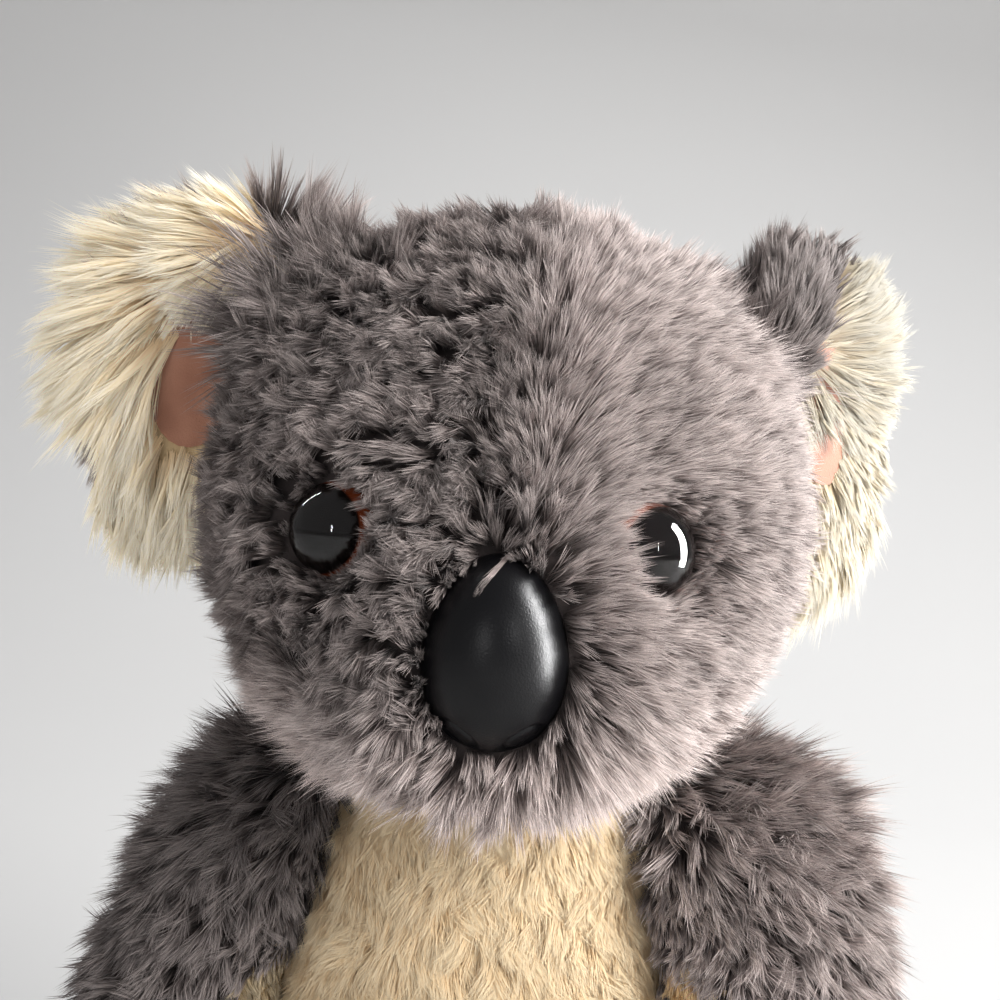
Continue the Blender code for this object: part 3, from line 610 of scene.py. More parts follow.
def grow(name, body, material, roots, flow, draw, *, length, lift, bow, radius, strands, width,
         shade, curl=0.0, clump=0.5, close=0.75, fray=0.10, frizz=0.05, blunt=0.85, tilt=0.7, mottle=1.0,
         soft=False, pushed=()):
    """Grows tufts from roots as pieces of at most MOST_STRANDS blades each, in wisps of WISP strands.

    flow is the way each tuft lies along the skin, lift how steeply it leaves it, bow how far it turns
    over and curl how far it turns aside. clump is how far a tuft's wisps close in on one another, close
    the same for a wisp's strands, fray and frizz their stray, and blunt the shortest strand's share.
    tilt is how unlike the ways are that blades face, and mottle how unlike their shades are. Soft pile
    scatters light among its fibres, so its blades are shaded as the cloth below them is.
    """
    count = len(roots)
    numbers = dict(length=length, lift=lift, bow=bow, radius=radius, shade=shade, curl=curl, clump=clump)
    each = {label: np.broadcast_to(np.asarray(value, float), (count,)) for label, value in numbers.items()}
    across = np.cross(roots.normals, flow)
    steps, axis, before = [], np.zeros((count, 3)), 0.0
    for level in LEVELS:
        middle = (before + level) / 2
        angle = each["lift"] - each["bow"] * middle
        way = turned(flow, roots.normals, each["curl"] * middle)
        rising = way * np.cos(angle)[:, None] + roots.normals * np.sin(angle)[:, None]
        axis = axis + rising * (level - before)
        steps.append(axis)
        before = level
    axis = np.stack(steps, 1)  # tufts, levels, xyz, for a length of one

    wisps = max(strands // WISP, 1)
    tuft_of = np.repeat(np.arange(count), wisps * WISP)
    wisp_of = np.repeat(np.arange(count * wisps), WISP)
    total = len(tuft_of)

    def disc(size):
        reach, turn = np.sqrt(draw.random(size)), draw.random(size) * math.tau
        return reach * np.cos(turn), reach * np.sin(turn)

    radius_of = each["radius"][tuft_of][:, None]
    ahead, aside = disc(count * wisps)
    tuft_side = flow[tuft_of] * ahead[wisp_of][:, None] + across[tuft_of] * aside[wisp_of][:, None]
    tuft_side = tuft_side * radius_of
    ahead, aside = disc(total)
    wisp_side = (flow[tuft_of] * ahead[:, None] + across[tuft_of] * aside[:, None]) * radius_of * 0.5
    wisp_stray = draw.normal(size=(count * wisps, 3))[wisp_of] * fray
    own_stray = draw.normal(size=(total, 3)) * frizz
    own_length = each["length"][tuft_of] * (1 + 0.05 * draw.normal(size=count * wisps)[wisp_of])
    own_length = own_length * (blunt + (1.04 - blunt) * draw.random(total))
    points = np.empty((total, len(LEVELS), 3))
    for number, level in enumerate(LEVELS):
        gather = (1 - each["clump"][tuft_of] * level**1.4)[:, None]
        foot = roots.places[tuft_of] + tuft_side * gather + wisp_side * (1 - close * level)
        reach = axis[tuft_of, number] + wisp_stray * level**1.2 + own_stray * level**1.5
        points[:, number] = foot + reach * own_length[:, None]
    for push in pushed:
        points = push(points.reshape(-1, 3)).reshape(points.shape)
    points[:, :, 2] = np.maximum(points[:, :, 2], 0.2 * MM)

    way = unit(points[:, -1] - points[:, 0])
    roll = draw.normal(size=total) * tilt
    facing = roots.normals[tuft_of] * np.cos(roll)[:, None] + across[tuft_of] * np.sin(roll)[:, None]
    sideways = unit(np.cross(way, facing)) * width / 2
    own_shade = each["shade"][tuft_of] + draw.normal(size=count * wisps)[wisp_of] * 0.07 * mottle
    own_shade = np.clip(own_shade + draw.normal(size=total) * 0.09 * mottle, 0, 0.999)
    strip = np.floor(own_shade * BAKE_STRIPS)
    pieces = math.ceil(total / MOST_STRANDS)
    for number in range(pieces):
        part = slice(total * number // pieces, total * (number + 1) // pieces)
        label = name if pieces == 1 else f"{name}_{number + 1}"
        blade = blades(label, points[part], sideways[part], strip[part])
        if soft:
            as_cloth = np.repeat(roots.normals[tuft_of[part]], 5, axis=0)
            blade.data.normals_split_custom_set_from_vertices(as_cloth)
        blade.data.materials.append(material)
        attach(blade, body)
    strand_counts.append(total)
    print(name + ":", count, "tufts,", total, "strands")


def blades(name, points, sideways, strip):
    """A mesh of strands: at each level but the last a pair of points, then one at the tip."""
    total = len(points)
    widths = (0.8, 1.0)
    corners = np.empty((total, 5, 3))
    for level, share in enumerate(widths):
        corners[:, 2 * level] = points[:, level] - sideways * share
        corners[:, 2 * level + 1] = points[:, level] + sideways * share
    corners[:, 4] = points[:, 2]
    quad_and_tip = np.array([0, 1, 3, 2, 2, 3, 4])
    loops = (np.arange(total)[:, None] * 5 + quad_and_tip).ravel()
    starts = (np.arange(total)[:, None] * 7 + np.array([0, 4])).ravel()
    mesh = bpy.data.meshes.new(name)
    mesh.vertices.add(total * 5)
    mesh.loops.add(total * 7)
    mesh.polygons.add(total * 2)
    mesh.vertices.foreach_set("co", corners.astype(np.float32).ravel())
    mesh.loops.foreach_set("vertex_index", loops.astype(np.int32))
    mesh.polygons.foreach_set("loop_start", starts.astype(np.int32))
    along = np.array([LEVELS[0], LEVELS[0], LEVELS[1], LEVELS[1], LEVELS[2]])
    shade = (strip + 0.5) / BAKE_STRIPS
    for label, values in (("along", np.tile(along, total)), ("shade", np.repeat(shade, 5))):
        mesh.attributes.new(label, "FLOAT", "POINT").data.foreach_set("value", values.astype(np.float32))
    sides = np.array([0.1, 0.9, 0.9, 0.1, 0.1, 0.9, 0.5])
    chart = np.empty((total, 7, 2))
    chart[:, :, 0] = (strip[:, None] + sides) / BAKE_STRIPS
    chart[:, :, 1] = along[quad_and_tip] * 0.98
    mesh.uv_layers.new(name="OFBake").uv.foreach_set("vector", chart.astype(np.float32).ravel())
    mesh.update(calc_edges=True)
    made = bpy.data.objects.new(name, mesh)
    scene.collection.objects.link(made)
    return made


strand_counts = []
print("strand levels:", LEVELS)

# %% [markdown]
# ## Eyes
# A safety eye is a clear dome whose flat back is painted: a large black pupil in a red-brown iris.
# The dome's own curve bends what lies behind it, so it is made as real glass over a painted disc and
# not as a ball with a drawn ring. The painted disc carries the stem that goes through the cloth.

# %% Eyes
EYE_RADIUS, EYE_DOME, EYE_YAW, EYE_PITCH = 9 * MM, 8.5 * MM, math.radians(20), math.radians(4)
STEM_RADIUS, STEM_LENGTH = 2.5 * MM, 14 * MM
SEAT_GAP = 0.3 * MM
DISC_SHARES = (0.25, 0.5, 0.65, 0.72, 0.76, 0.82, 0.9, 0.96, 1)  # rings of the painted disc
PUPIL_OUT = 2.6 * MM  # the pupil is painted off the middle, so the iris shows beside the nose


def seat_axes(facing, seat):
    """A place on the face: X is right, Y is up and Z leaves it."""
    right = Vector((0, 0, 1)).cross(facing).normalized()
    turn = Matrix((right, facing.cross(right), facing)).transposed().to_4x4()
    return Matrix.Translation(seat) @ turn


def ringed_solid(name, rings, centre_front, centre_back, axes):
    """A closed solid from rings of equally many points, with a point in front and one behind."""
    shape = bmesh.new()
    rows = [[shape.verts.new(axes @ Vector(point)) for point in ring] for ring in rings]
    around = len(rows[0])
    first, last = shape.verts.new(axes @ Vector(centre_front)), shape.verts.new(axes @ Vector(centre_back))
    for k in range(around):
        after = (k + 1) % around
        shape.faces.new((first, rows[0][k], rows[0][after]))
        shape.faces.new((last, rows[-1][after], rows[-1][k]))
        for inner, outer in zip(rows, rows[1:]):
            shape.faces.new((inner[k], outer[k], outer[after], inner[after]))
    for face in shape.faces:
        face.smooth = True
    for edge in shape.edges:
        edge.smooth = edge.calc_face_angle(0) < math.radians(40)
    return object_from(shape, name)


def circle(radius, height, count=64):
    turns = [math.tau * k / count for k in range(count)]
    return [(radius * math.cos(turn), radius * math.sin(turn), height) for turn in turns]


def eye_glass_material():
    made, surface = plain_material("eye_glass", (0.94, 0.90, 0.88), 0.02)
    surface.inputs["Transmission Weight"].default_value = 1.0
    surface.inputs["IOR"].default_value = 1.49
    surface.inputs["Specular IOR Level"].default_value = 0.14
    return made


def eye_paint_material():
    """Black pupil in a red-brown iris, told apart by how far a point is from the pupil's middle."""
    made, surface = plain_material("eye_paint", (0.003, 0.002, 0.002), 0.9)
    surface.inputs["Specular IOR Level"].default_value = 0.0
    tree = made.node_tree
    radial = mesh_number(tree, "radial")
    fleck = placed_group(tree, FINE_GRAIN, {"Size": 900, "Contrast": 1.0})
    brown = mixed(tree, fleck.outputs["Height"], (0.07, 0.013, 0.005, 1), (0.24, 0.056, 0.019, 1))
    ring = mixed(tree, spread(tree, radial, 0.74, 0.80), (0.003, 0.002, 0.002, 1), brown)
    tree.links.new(ring, surface.inputs["Base Color"])
    return made


EYE_GLASS, EYE_PAINT = eye_glass_material(), eye_paint_material()
EYE_AXES = {}
for side_name, side in SIDES.items():
    flat = math.cos(EYE_PITCH)
    facing = Vector((side * math.sin(EYE_YAW) * flat, -math.cos(EYE_YAW) * flat, math.sin(EYE_PITCH)))
    low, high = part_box("eye_washer_" + side_name)
    seat = (low + high) / 2 + facing * 2.4 * MM
    axes = EYE_AXES[side_name] = seat_axes(facing, seat)
    base, crown = SEAT_GAP + 1.2 * MM, EYE_DOME - 1.2 * MM
    arc = [math.pi / 2 * step / 24 for step in range(1, 25)]
    dome = [circle(EYE_RADIUS * math.sin(turn), base + crown * math.cos(turn)) for turn in arc]
    glass_back = SEAT_GAP + 0.4 * MM
    dome += [circle(EYE_RADIUS, SEAT_GAP + 0.5 * MM), circle(EYE_RADIUS - 0.3 * MM, glass_back)]
    glass = ringed_solid("eye_dome_" + side_name, dome, (0, 0, base + crown), (0, 0, glass_back), axes)
    glass.data.materials.append(EYE_GLASS)
    paint_front = SEAT_GAP + 1.0 * MM
    across = EYE_RADIUS - 0.15 * MM
    disc_rings = [circle(across * share, paint_front) for share in DISC_SHARES]
    disc_rings += [circle(across, SEAT_GAP), circle(STEM_RADIUS, SEAT_GAP)]
    disc_rings.append(circle(STEM_RADIUS, -STEM_LENGTH))
    ends = ((0, 0, paint_front), (0, 0, -STEM_LENGTH))
    paint = ringed_solid("eye_paint_" + side_name, disc_rings, *ends, axes)
    paint.data.materials.append(EYE_PAINT)
    local = np.array([axes.inverted() @ vert.co for vert in paint.data.vertices])
    radial = np.hypot(local[:, 0] - side * PUPIL_OUT, local[:, 1]) / across
    carried = paint.data.attributes.new("radial", "FLOAT", "POINT").data
    carried.foreach_set("value", radial.astype(np.float32))
    for made in (glass, paint):
        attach(made, "head")
    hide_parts("eye_" + side_name)
    dish_skin(skins["head"], axes, EYE_RADIUS)
    print("eye", side_name, "seated at", [round(x / MM, 1) for x in seat])

# %% [markdown]
# ## Nose
# The nose is one moulding: an egg, narrower at its top, with a leaf-shaped nostril pressed into each
# side of its foot. A dense grid of rings takes the egg's form, and the nostrils are then pressed into
# it point by point, which a bump in the material couldn't show at the outline. Its skin is a satin
# black with a fine eroded texture from the mould, and that does come from the material.

# %% Nose
NOSE_HALF = Vector((13.2, 17.9, 12.5)) * MM  # across, up and out
NOSE_TAPER = 0.14
NOSE_PITCH = math.radians(-3)
LEAF_AT, LEAF_HALF, LEAF_TURN = (5.7 * MM, -13.7 * MM), (3.9 * MM, 1.5 * MM), math.radians(38)


def leaf_depth(x, y):
    """How deep a nostril is pressed at a place: a groove round a leaf whose middle is a little sunk."""
    x, y = abs(x) - LEAF_AT[0], y - LEAF_AT[1]
    along = (x * math.cos(LEAF_TURN) + y * math.sin(LEAF_TURN)) / LEAF_HALF[0]
    beside = (y * math.cos(LEAF_TURN) - x * math.sin(LEAF_TURN)) / LEAF_HALF[1]
    share = math.hypot(along * abs(along) ** 0.3, beside)
    groove = math.exp(-(((share - 1) / 0.22) ** 2))
    return 0.55 * MM * groove + 0.25 * MM * (1 - min(max((share - 0.7) / 0.4, 0), 1))


def nose_point(turn, angle):
    """A point of the egg at a turn round it and an angle from its middle."""
    up = math.sin(angle) * math.sin(turn)
    x = NOSE_HALF.x * math.sin(angle) * math.cos(turn) * (1 - NOSE_TAPER * up)
    y = NOSE_HALF.y * up
    out = Vector((x / NOSE_HALF.x**2, y / NOSE_HALF.y**2, math.cos(angle) / NOSE_HALF.z)).normalized()
    return Vector((x, y, NOSE_HALF.z * math.cos(angle))) - out * leaf_depth(x, y)


low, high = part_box("nose")
nose_facing = Vector((0, -math.cos(NOSE_PITCH), math.sin(NOSE_PITCH)))
nose_seat = Vector((0, low.y + NOSE_HALF.z, (low.z + high.z) / 2))
NOSE_AXES = seat_axes(nose_facing, nose_seat)
around, deep = 240, 110
turns = [math.tau * k / around for k in range(around)]
rings = [[nose_point(turn, math.pi / 2 * step / deep) for turn in turns] for step in range(1, deep + 1)]
rings += [circle(STEM_RADIUS, SEAT_GAP, around), circle(STEM_RADIUS, -STEM_LENGTH, around)]
nose = ringed_solid("nose_egg", rings, nose_point(0, 0), (0, 0, -STEM_LENGTH), NOSE_AXES)
MOULDED = (0.31, 2600, 1.0, 0.05 * MM)  # roughness, grain size, contrast and depth
NOSE_PLASTIC = grained_material("nose_plastic", (0.004, 0.004, 0.005), (0.007, 0.007, 0.008), *MOULDED)
NOSE_PLASTIC.node_tree.nodes["Principled BSDF"].inputs["Specular IOR Level"].default_value = 0.22
nose.data.materials.append(NOSE_PLASTIC)
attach(nose, "head")
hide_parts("nose")
print("nose:", len(nose.data.vertices), "points")

# %% [markdown]
# ## The head's coat
# The nap leaves a parting that runs from the nose up to a whorl on the forehead. The toy's left side
# has been stroked flat, up and outward, and its pile is painted lighter there as painted sheen of the
# flat nap. Its right side is ruffled: separate blunt tufts stand out of the cloth, lean forward and
# part, so their pale tips face the eye with dark valleys between them. Those valleys are partly real
# shade and partly painted shade, as the ruffled pile is painted darker and darkest at its roots.
# Below the nose the fur falls, long and pale, over the belly. It lies over the inner edges of the eyes
# and leaves their outer edges free, and two loose tufts hang over the top of the nose.

# %% The head's coat
NECK_EDGE = 0.1415  # the head's cloth below this height is hidden in the neck
PARTING_LOW, PARTING_TOP = np.array([3, -58, 170]) * MM, np.array([5.5, -31, 225]) * MM


def off_parting(places):
    """The way from the nearest point of the parting to each place."""
    line = PARTING_TOP - PARTING_LOW
    share = np.clip((places - PARTING_LOW) @ line / (line @ line), 0, 1)
    return places - (PARTING_LOW + share[:, None] * line)


def outside_of(axes, half, taper=0.0):
    """Moves points out of an egg, so that strands lie over a plastic piece and not in it."""
    turn, centre = np.array(axes.to_3x3()), np.array(axes.translation)

    def push(points):
        local = (points - centre) @ turn
        wide = 1 - taper * local[:, 1] / half[1]
        x, y, z = local[:, 0] / (half[0] * wide), local[:, 1] / half[1], local[:, 2] / half[2]
        inside = np.sqrt(x**2 + y**2 + z**2)
        hit = inside < 1
        grown = local[hit] / np.maximum(inside[hit], 0.05)[:, None]
        points[hit] = centre + grown @ turn.T
        return points

    return push


def beside(places, axes, half_x, half_y, taper=0.0):
    """How far a place is from a plastic piece's edge, as a share of its size, and large behind it."""
    local = (places - np.array(axes.translation)) @ np.array(axes.to_3x3())
    wide = 1 - taper * np.clip(local[:, 1] / half_y, -1, 1)
    radial = np.hypot(local[:, 0] / (half_x * wide), local[:, 1] / half_y) - 1
    return np.where(local[:, 2] > -0.02, radial, 9.0)


PUSHES = [outside_of(axes, (9.2 * MM, 9.2 * MM, 9.0 * MM)) for axes in EYE_AXES.values()]
PUSHES.append(outside_of(NOSE_AXES, NOSE_HALF * 1.015, NOSE_TAPER))


def head_coat(label, spacing, strands, width, belongs, draw):
    """Grows the tufts of one region of the head, whose roots belong() picks by combed and y."""
    roots = scatter(skins["head"], spacing, draw)
    near_eyes = [beside(roots.places, axes, EYE_RADIUS, EYE_RADIUS) for axes in EYE_AXES.values()]
    near_eye = np.minimum(*near_eyes)
    near_nose = beside(roots.places, NOSE_AXES, NOSE_HALF.x, NOSE_HALF.y, NOSE_TAPER)
    combed = smooth_step(roots.places[:, 0] - 4.5 * MM, -4 * MM, 5 * MM)
    # On the ruffled side the roots keep further from the eyes, so their rims show, and the dark backing
    # bared round them stands in for the shade round the eyes, as painted shade.
    seen = (near_eye > np.where(combed > 0.5, 0.02, 0.06)) & (near_nose > -0.08)
    seen &= (roots.places[:, 2] > NECK_EDGE) & belongs(combed, roots.places[:, 1])
    roots, near_eye, near_nose, combed = roots.kept(seen), near_eye[seen], near_nose[seen], combed[seen]
    x, y, z = roots.places.T
    ruffled = 1 - combed
    front = 1 - smooth_step(y, -0.012, 0.02)
    under = smooth_step(-z, -0.162, -0.146) * front
    stands = ruffled * (1 - 0.6 * under) * front
    away = off_parting(roots.places)
    on_line = np.exp(-(np.linalg.norm(away, axis=1) / (6 * MM)) ** 2)
    at_nose = np.exp(-((near_nose / 0.3) ** 2)) * (0.55 + 0.25 * combed)
    at_eye = np.exp(-((near_eye / 0.35) ** 2)) * (0.95 - 0.55 * combed)
    away[:, 1] *= 0.5
    lean = unit(away) * (1 - 0.5 * stands)[:, None] + np.array([0, -0.85, 0]) * stands[:, None]
    lean += np.array([0, 0, 0.55]) * (smooth_step(z, 0.178, 0.205) * (0.3 + 0.7 * combed))[:, None]
    lean += np.array([0, -0.2, 1.3]) * on_line[:, None]
    right_eye = EYE_AXES["right"]
    outer = smooth_step(-beside(roots.places, right_eye, EYE_RADIUS, EYE_RADIUS), -1.1, -0.4)
    outer *= smooth_step(right_eye.translation.x - x, -3 * MM, 2 * MM)
    off_eye = unit(roots.places - np.array(right_eye.translation))
    lean = unit(lean) * (1 - outer)[:, None] + off_eye * outer[:, None]
    back_fall = np.array([0, 0.7, -0.75])
    flow = along_skin(lean * front[:, None] + back_fall * (1 - front)[:, None], roots.normals)
    swirl = drift(roots.places, 26 * MM, 3) * (0.2 + 0.6 * stands)
    swirl += drift(roots.places, 12 * MM, 4) * 0.8 * stands
    stray = draw.normal(size=len(roots)) * (0.10 + 0.5 * stands)
    flow = turned(flow, roots.normals, (swirl * (1 - 0.75 * under) + stray) * (1 - outer))
    rim = smooth_step(near_eye, 0, 0.7) * smooth_step(near_nose, -0.3, 0.3)
    from_ear = ((np.abs(x) - 0.046) / 0.013) ** 2 + ((y - 0.004) / 0.015) ** 2
    root_tuft = np.exp(-from_ear) * smooth_step(z, 0.208, 0.220)
    tuft_more = np.where(x < 0, 18.0, 14.0) * root_tuft
    full = (10.8 - 2.4 * stands + 3.0 * under + tuft_more) * MM
    near_rim = 0.32 + 0.13 * combed + (0.68 - 0.13 * combed) * rim
    steep = 25 + 34 * stands + 34 * root_tuft + 26 * (on_line + at_nose + at_eye)
    uneven = drift(roots.places, 9 * MM, 5)
    noise = draw.normal(size=(5, len(roots)))
    grow(
        "head_pile_" + label, "head", GREY_FIBRE, roots, flow, draw, strands=strands,
        width=width, length=full * near_rim * (1 + 0.12 * uneven),
        lift=np.radians(np.minimum(steep, 84) + (7 + 7 * stands) * noise[0]),
        bow=np.radians(14 + 14 * stands + 10 * noise[1] * stands),
        curl=np.radians(50) * noise[2] * (0.15 + 0.75 * stands),
        radius=spacing * (0.62 - 0.18 * stands), clump=0.30 - 0.14 * stands + 0.05 * noise[3],
        close=0.7, fray=0.12, blunt=0.92,
        # Painted light and shade: the combed side's shade is raised as painted sheen of its flat nap, and
        # the ruffled side's is kept low as painted shade.
        shade=0.31 + 0.29 * combed + 0.42 * under + 0.06 * uneven + 0.09 * noise[4] * stands, pushed=PUSHES,
    )


draw = np.random.default_rng(11)
FACE_EDGE = -4 * MM
head_coat("ruffled", 2.65 * MM, 105, 0.14 * MM, lambda combed, y: (combed < 0.5) & (y < FACE_EDGE), draw)
head_coat("combed", 1.95 * MM, 56, 0.15 * MM, lambda combed, y: (combed >= 0.5) & (y < FACE_EDGE), draw)
head_coat("nape", 2.6 * MM, 28, 0.28 * MM, lambda combed, y: y >= FACE_EDGE, draw)
loose_places = np.array([(3.5, -52.5, 185.5), (13.5, -50.5, 178.5)]) * MM
loose = Roots(loose_places, unit(np.array([(0, -0.9, 0.4), (0.3, -0.9, 0.3)])))
hanging = along_skin(np.array([(-0.45, 0, -0.9), (0.35, 0, -0.9)]), loose.normals)
grow(
    "nose_wisps", "head", GREY_FIBRE, loose, hanging, draw, length=np.array([15, 9]) * MM,
    lift=math.radians(54), bow=math.radians(70), radius=np.array([0.7, 0.4]) * MM, strands=28,
    width=0.13 * MM, clump=0.85, close=0.9, fray=0.03, frizz=0.02, shade=0.85, pushed=PUSHES,
)

# %% [markdown]
# ## The body's coat
# The belly panel is a silkier cream pile whose soft locks swirl a little as they fall. The grey of the
# back and sides lies down. Arms and legs are covered in larger tufts that run along the limb and stand
# off towards its outer side, because handling has opened them. Beside the belly the pile is pressed
# short, which leaves a dark gap between arm and body.

# %% The body's coat
LIMB_SPACING = 2.6  # in mm


def jitter(roots, spread):
    """A random number for each root, of about the size of spread."""
    return spread * draw.normal(size=len(roots))


def clear_of(roots, nodes, distance=1.5 * MM):
    """The roots that no other piece presses on."""
    for node in nodes:
        roots = roots.kept(nearest_distance(roots.places, node) > distance)
    return roots


draw = np.random.default_rng(23)
roots = scatter(skins["torso"], 2.15 * MM, draw)
roots = clear_of(roots.kept((roots.places[:, 2] > 0.004) & (roots.places[:, 2] < 0.139)), limb_skins)
cream = nearer_panel(roots.places, "belly_panel", "torso_skin")
coats = (
    ("belly_pile", cream, CREAM_FIBRE, "cream_plush", 56, 0.15, 0.54, True),
    ("torso_pile", ~cream, GREY_FIBRE, "grey_plush", 14, 0.34, 0.40, False),
)
for label, mask, material, slot, strands, width, tone, soft in coats:
    part = roots.kept(mask)
    flow = along_skin(np.tile([0.0, -0.1, -1.0], (len(part), 1)), part.normals)
    swirl = drift(part.places, 24 * MM, 7) * 0.5 + drift(part.places, 10 * MM, 8) * 0.6
    swirl += jitter(part, 0.15)
    grow(
        label, "torso", material, part, turned(flow, part.normals, swirl), draw,
        length=9.0 * MM * (1 + jitter(part, 0.08)),
        lift=np.radians(21 + jitter(part, 4)), bow=np.radians(15), radius=1.8 * MM,
        curl=jitter(part, np.radians(20)), strands=strands, width=width * MM, clump=0.15,
        close=0.3, fray=0.08, tilt=0.25, mottle=0.4, soft=soft, shade=tone + jitter(part, 0.02),
    )

for side_name, side in SIDES.items():
    # Painted light and shade: on the toy's left, towards the key light, the arm's pile and its palm are
    # painted much lighter than on the other arm.
    coats = (
        ("arm", "palm", 56, 10.5, 8.0, np.array([side * 0.45, -0.1, -1.0]), 0.60 if side > 0 else 0.0),
        ("leg", "foot", 24, 9.5, 6.0, np.array([side * 0.1, -1.0, -0.35]), 0.40),
    )
    for limb, panel, strands, long, short, way, tone in coats:
        roots = clear_of(scatter(skins[f"{limb}_{side_name}"], LIMB_SPACING * MM, draw), ["torso_skin"])
        roots = roots.kept(roots.places[:, 2] > 0.003)
        cream = nearer_panel(roots.places, f"{panel}_panel_{side_name}", f"{limb}_skin_{side_name}")
        for kind, mask, material, slot, size in (
            (panel, cream, CREAM_FIBRE, "cream_plush", short),
            (limb, ~cream, GREY_FIBRE, "grey_plush", long),
        ):
            part = roots.kept(mask)
            flow = along_skin(np.tile(way, (len(part), 1)), part.normals)
            swirl = drift(part.places, 24 * MM, 9) * 0.5 + drift(part.places, 10 * MM, 10) * 0.5
            swirl += jitter(part, 0.2)
            pressed = smooth_step(-side * part.normals[:, 0], 0.1, 0.7) * (limb == "arm")
            high = smooth_step(part.places[:, 2], 0.100, 0.130)
            grow(
                f"{kind}_pile_{side_name}", f"{limb}_{side_name}_body", material, part,
                turned(flow, part.normals, swirl), draw,
                length=size * MM * (1 - 0.5 * pressed + 0.35 * high) * (1 + jitter(part, 0.10)),
                lift=np.radians(38 + 14 * high + jitter(part, 10)), bow=np.radians(20),
                curl=jitter(part, np.radians(30)), radius=LIMB_SPACING * 0.6 * MM,
                strands=strands, width=0.18 * MM, clump=0.30, mottle=0.7,
                shade=tone + 0.05 * drift(part.places, 8 * MM, 12) + jitter(part, 0.07),
            )

# %% [markdown]
# ## The ears
# Each ear is two round pieces of plush, cream in front and grey behind, with a bare oval of pink
# suede sewn into the front beside the head. The cream locks are the toy's longest. They spring from a
# whorl near the top of the ear's root, stream outward over the upper half and fall in the lower half,
# where some grey of the back shows past them. Grey fur also folds over the top of the root, and much
# further over the ear that is swept back. Behind, it stands up in a brush between ear and crown.

# %% The ears
EAR_LIFT, EAR_OUT, EAR_BACK, EAR_HIGH = math.radians(14), 55.065 * MM, 4 * MM, 208 * MM
EAR_SWEEPS = {"left": math.radians(42), "right": math.radians(6)}
LINING_OUT = 12.5  # in mm
LOCK_REACH = 13.4 * MM  # how far a lock stands out of the frame's box before it is held back
HEIGHTS = (-36, -22, -8, 6, 20, 36)  # in mm along the ear from its middle
LOCKS = {"left": (25, 14, 6, 14, 16, 10), "right": (17, 15, 18, 24, 23, 16)}  # in mm, a lock's length there
BACK_TURNS = (90, 70, 40, 0, -35, -60)  # in degrees, how far the grey fur falls there
WHORLS = {"left": (4, 18, -18), "right": (10, 31, 4)}  # in mm, out and up, and the least fall in degrees
# Painted light and shade: on the toy's left the locks are painted lighter at the ear's foot, in the head's
# shadow, and much darker at its top, where the key light falls. On the right they keep one tone.
LOCK_SHADES = {"left": (0.55, 0.02), "right": (0.66, 0.66)}  # at the ear's foot and at its top
ROOT_BRUSH = {"left": 0.4, "right": 1.0}  # how far the fur at the ear's root stands up and in
GREY_FOLDS = {"left": (4, 3, 10, 1.1), "right": (4, 0, 10, 0.1)}  # in mm: from, out at, height, slope
# The bare patches, in mm: the middle's height, half the width, half the height.
BARE_PATCHES = {"left": (-5, 3, 11), "right": (-1, 10, 15.5)}


def ear_axes(side_name, side):
    """Rows: outward, forward and up along the ear."""
    sweep = EAR_SWEEPS[side_name]
    flat = math.cos(EAR_LIFT)
    outward = Vector((side * math.cos(sweep) * flat, math.sin(sweep) * flat, math.sin(EAR_LIFT)))
    forward = Vector((side * math.sin(sweep), -math.cos(sweep), 0))
    up = outward.cross(forward) * -side
    return np.array([outward, forward, up])


def held_back(points):
    """Bends strands that reach far out of the frame's box back towards it."""
    for axis, side, edge in ((0, 1, cad_high.x), (0, -1, cad_low.x), (2, 1, cad_high.z)):
        over = np.maximum(side * (points[:, axis] - edge) - LOCK_REACH, 0)
        points[:, axis] -= side * over * 0.8
    return points


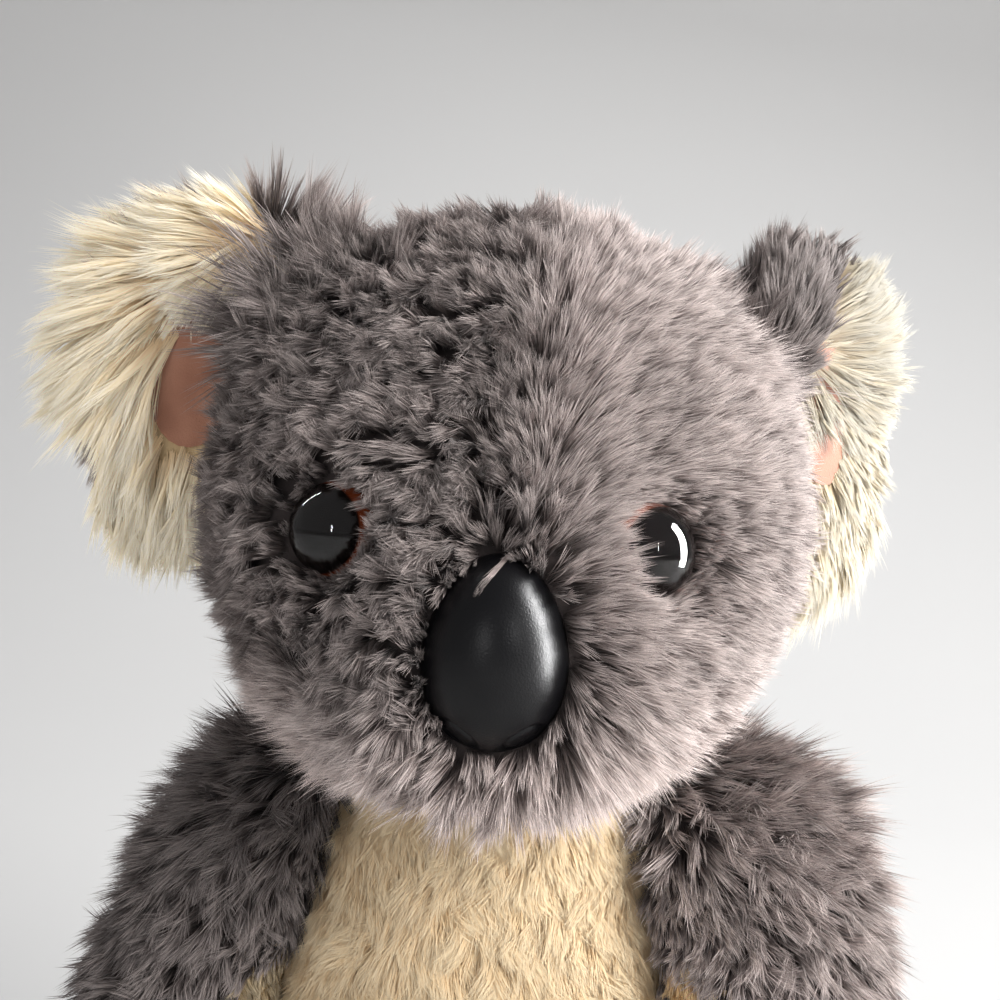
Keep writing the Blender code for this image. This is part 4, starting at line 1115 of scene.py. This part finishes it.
for side_name, side in SIDES.items():
    axes = ear_axes(side_name, side)
    roots = scatter(skins["ear_" + side_name], 1.7 * MM, draw)
    roots = clear_of(roots, ["head_skin"], 1.0 * MM)
    out, ahead, up = ((roots.places - np.array([side * EAR_OUT, EAR_BACK, EAR_HIGH])) @ axes.T).T / MM
    bare_at, bare_out, bare_up = BARE_PATCHES[side_name]
    patch = np.hypot((out - LINING_OUT) / bare_out, (up - bare_at) / bare_up)
    beside_head = (out < LINING_OUT) & (np.abs(up - bare_at) < bare_up - 2)
    keep = ~(((patch < 0.95) | beside_head) & (ahead > 0))
    roots, out, ahead, up = roots.kept(keep), out[keep], ahead[keep], up[keep]
    start, at, high, slope = GREY_FOLDS[side_name]
    folded = (up > start) & (out < at + (up - high) * slope)
    past = (side_name == "right") & (out > 27) & (up > -27) & (up < -8)
    front = (ahead > np.where((side < 0) & (up > 28), -1.0, 1.2)) & ~folded & ~past
    inner = smooth_step(-out, -14, -4) * smooth_step(up, 2, 14)
    whorl_out, whorl_up, least = WHORLS[side_name]
    from_whorl = np.degrees(np.arctan2(whorl_up - up, out - whorl_out))
    falls = {"front": np.clip(12 + (from_whorl - 28) * 1.8, least, 95)}
    falls["back"] = falls["root"] = np.interp(up, HEIGHTS, BACK_TURNS)
    over_patch = (np.abs(out - LINING_OUT) < bare_out) & (up > bare_at + bare_up - 5)
    hang = 6 if side < 0 else 14
    room = np.where(over_patch, np.maximum(up - bare_at - bare_up, 0) + hang, 99)
    rooted = ~front & (inner > 0.3)
    for label, mask, material, slot, strands in (
        ("front", front, LOCK_FIBRE, "cream_plush", 42),
        ("back", ~front & ~rooted, GREY_FIBRE, "grey_plush", 28),
        ("root", rooted, GREY_FIBRE, "grey_plush", 60),
    ):
        part, turn = roots.kept(mask), np.radians(falls[label][mask])
        inward = inner[mask] * (label == "root") * ROOT_BRUSH[side_name]
        lying = axes[0] * np.cos(turn)[:, None] - axes[2] * np.sin(turn)[:, None]
        lying -= axes[1] * 0.5 * (label == "back")
        lying = lying * (1 - inward)[:, None] + (0.9 * axes[2] - 0.6 * axes[0]) * inward[:, None]
        flow = along_skin(lying, part.normals)
        swirl = jitter(part, 0.08) + drift(part.places, 6 * MM, 13) * 0.22
        long = 8 + 4 * smooth_step(up[mask], -10, 20) * (side < 0) + 10 * inward
        # Painted shade: the grey pile of the ear on the toy's left, where the key light falls, is painted
        # darker than the other ear's.
        tone = 0.42 - 0.2 * (side > 0)
        if label == "front":
            long = np.interp(up[mask], HEIGHTS, LOCKS[side_name])
            tone = np.interp(up[mask], (-30, 30), LOCK_SHADES[side_name])
        long = np.minimum(long * (1 + jitter(part, 0.10)), room[mask])
        grow(
            f"ear_{label}_pile_{side_name}", f"ear_{side_name}_body", material, part,
            turned(flow, part.normals, swirl), draw, length=long * MM,
            lift=np.radians(
                20 + 25 * inward + jitter(part, 5) + 6 * drift(part.places, 5 * MM, 14)
            ),
            bow=np.radians(16), curl=jitter(part, np.radians(12)), radius=1.25 * MM,
            strands=strands, width=0.17 * MM, clump=0.2 if label == "root" else 0.5, close=0.85, fray=0.05,
            frizz=0.02, blunt=0.75, tilt=0.45, soft=label == "front", pushed=[held_back],
            shade=tone + 0.06 * drift(part.places, 5 * MM, 15) + jitter(part, 0.04),
            mottle=0.5 if side > 0 else 0.8,
        )
    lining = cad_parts[f"ear_lining_{side_name}"]
    lining.data.materials.clear()
    lining.data.materials.append(SUEDE)

# %% [markdown]
# ## Washers and sizes
# The washers behind the eyes and the nose are plain pressed plastic, which only a cut would show.
# Then the sizes are printed.

# %% Washers and sizes
PRESSED = (0.45, 1500, 0.5, 0.05 * MM)  # roughness, grain size, contrast and depth
WASHER_PLASTIC = grained_material("washer_plastic", (0.66, 0.66, 0.64), (0.72, 0.72, 0.70), *PRESSED)
for node in ("eye_washer_left", "eye_washer_right", "nose_washer"):
    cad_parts[node].data.materials.clear()
    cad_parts[node].data.materials.append(WASHER_PLASTIC)

visual_low, visual_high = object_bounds()
print("strands in all:", sum(strand_counts))
past = (*(cad_low - visual_low), *(visual_high - cad_high))
print("proud of the frame by", [round(x / MM, 1) for x in past], "mm")
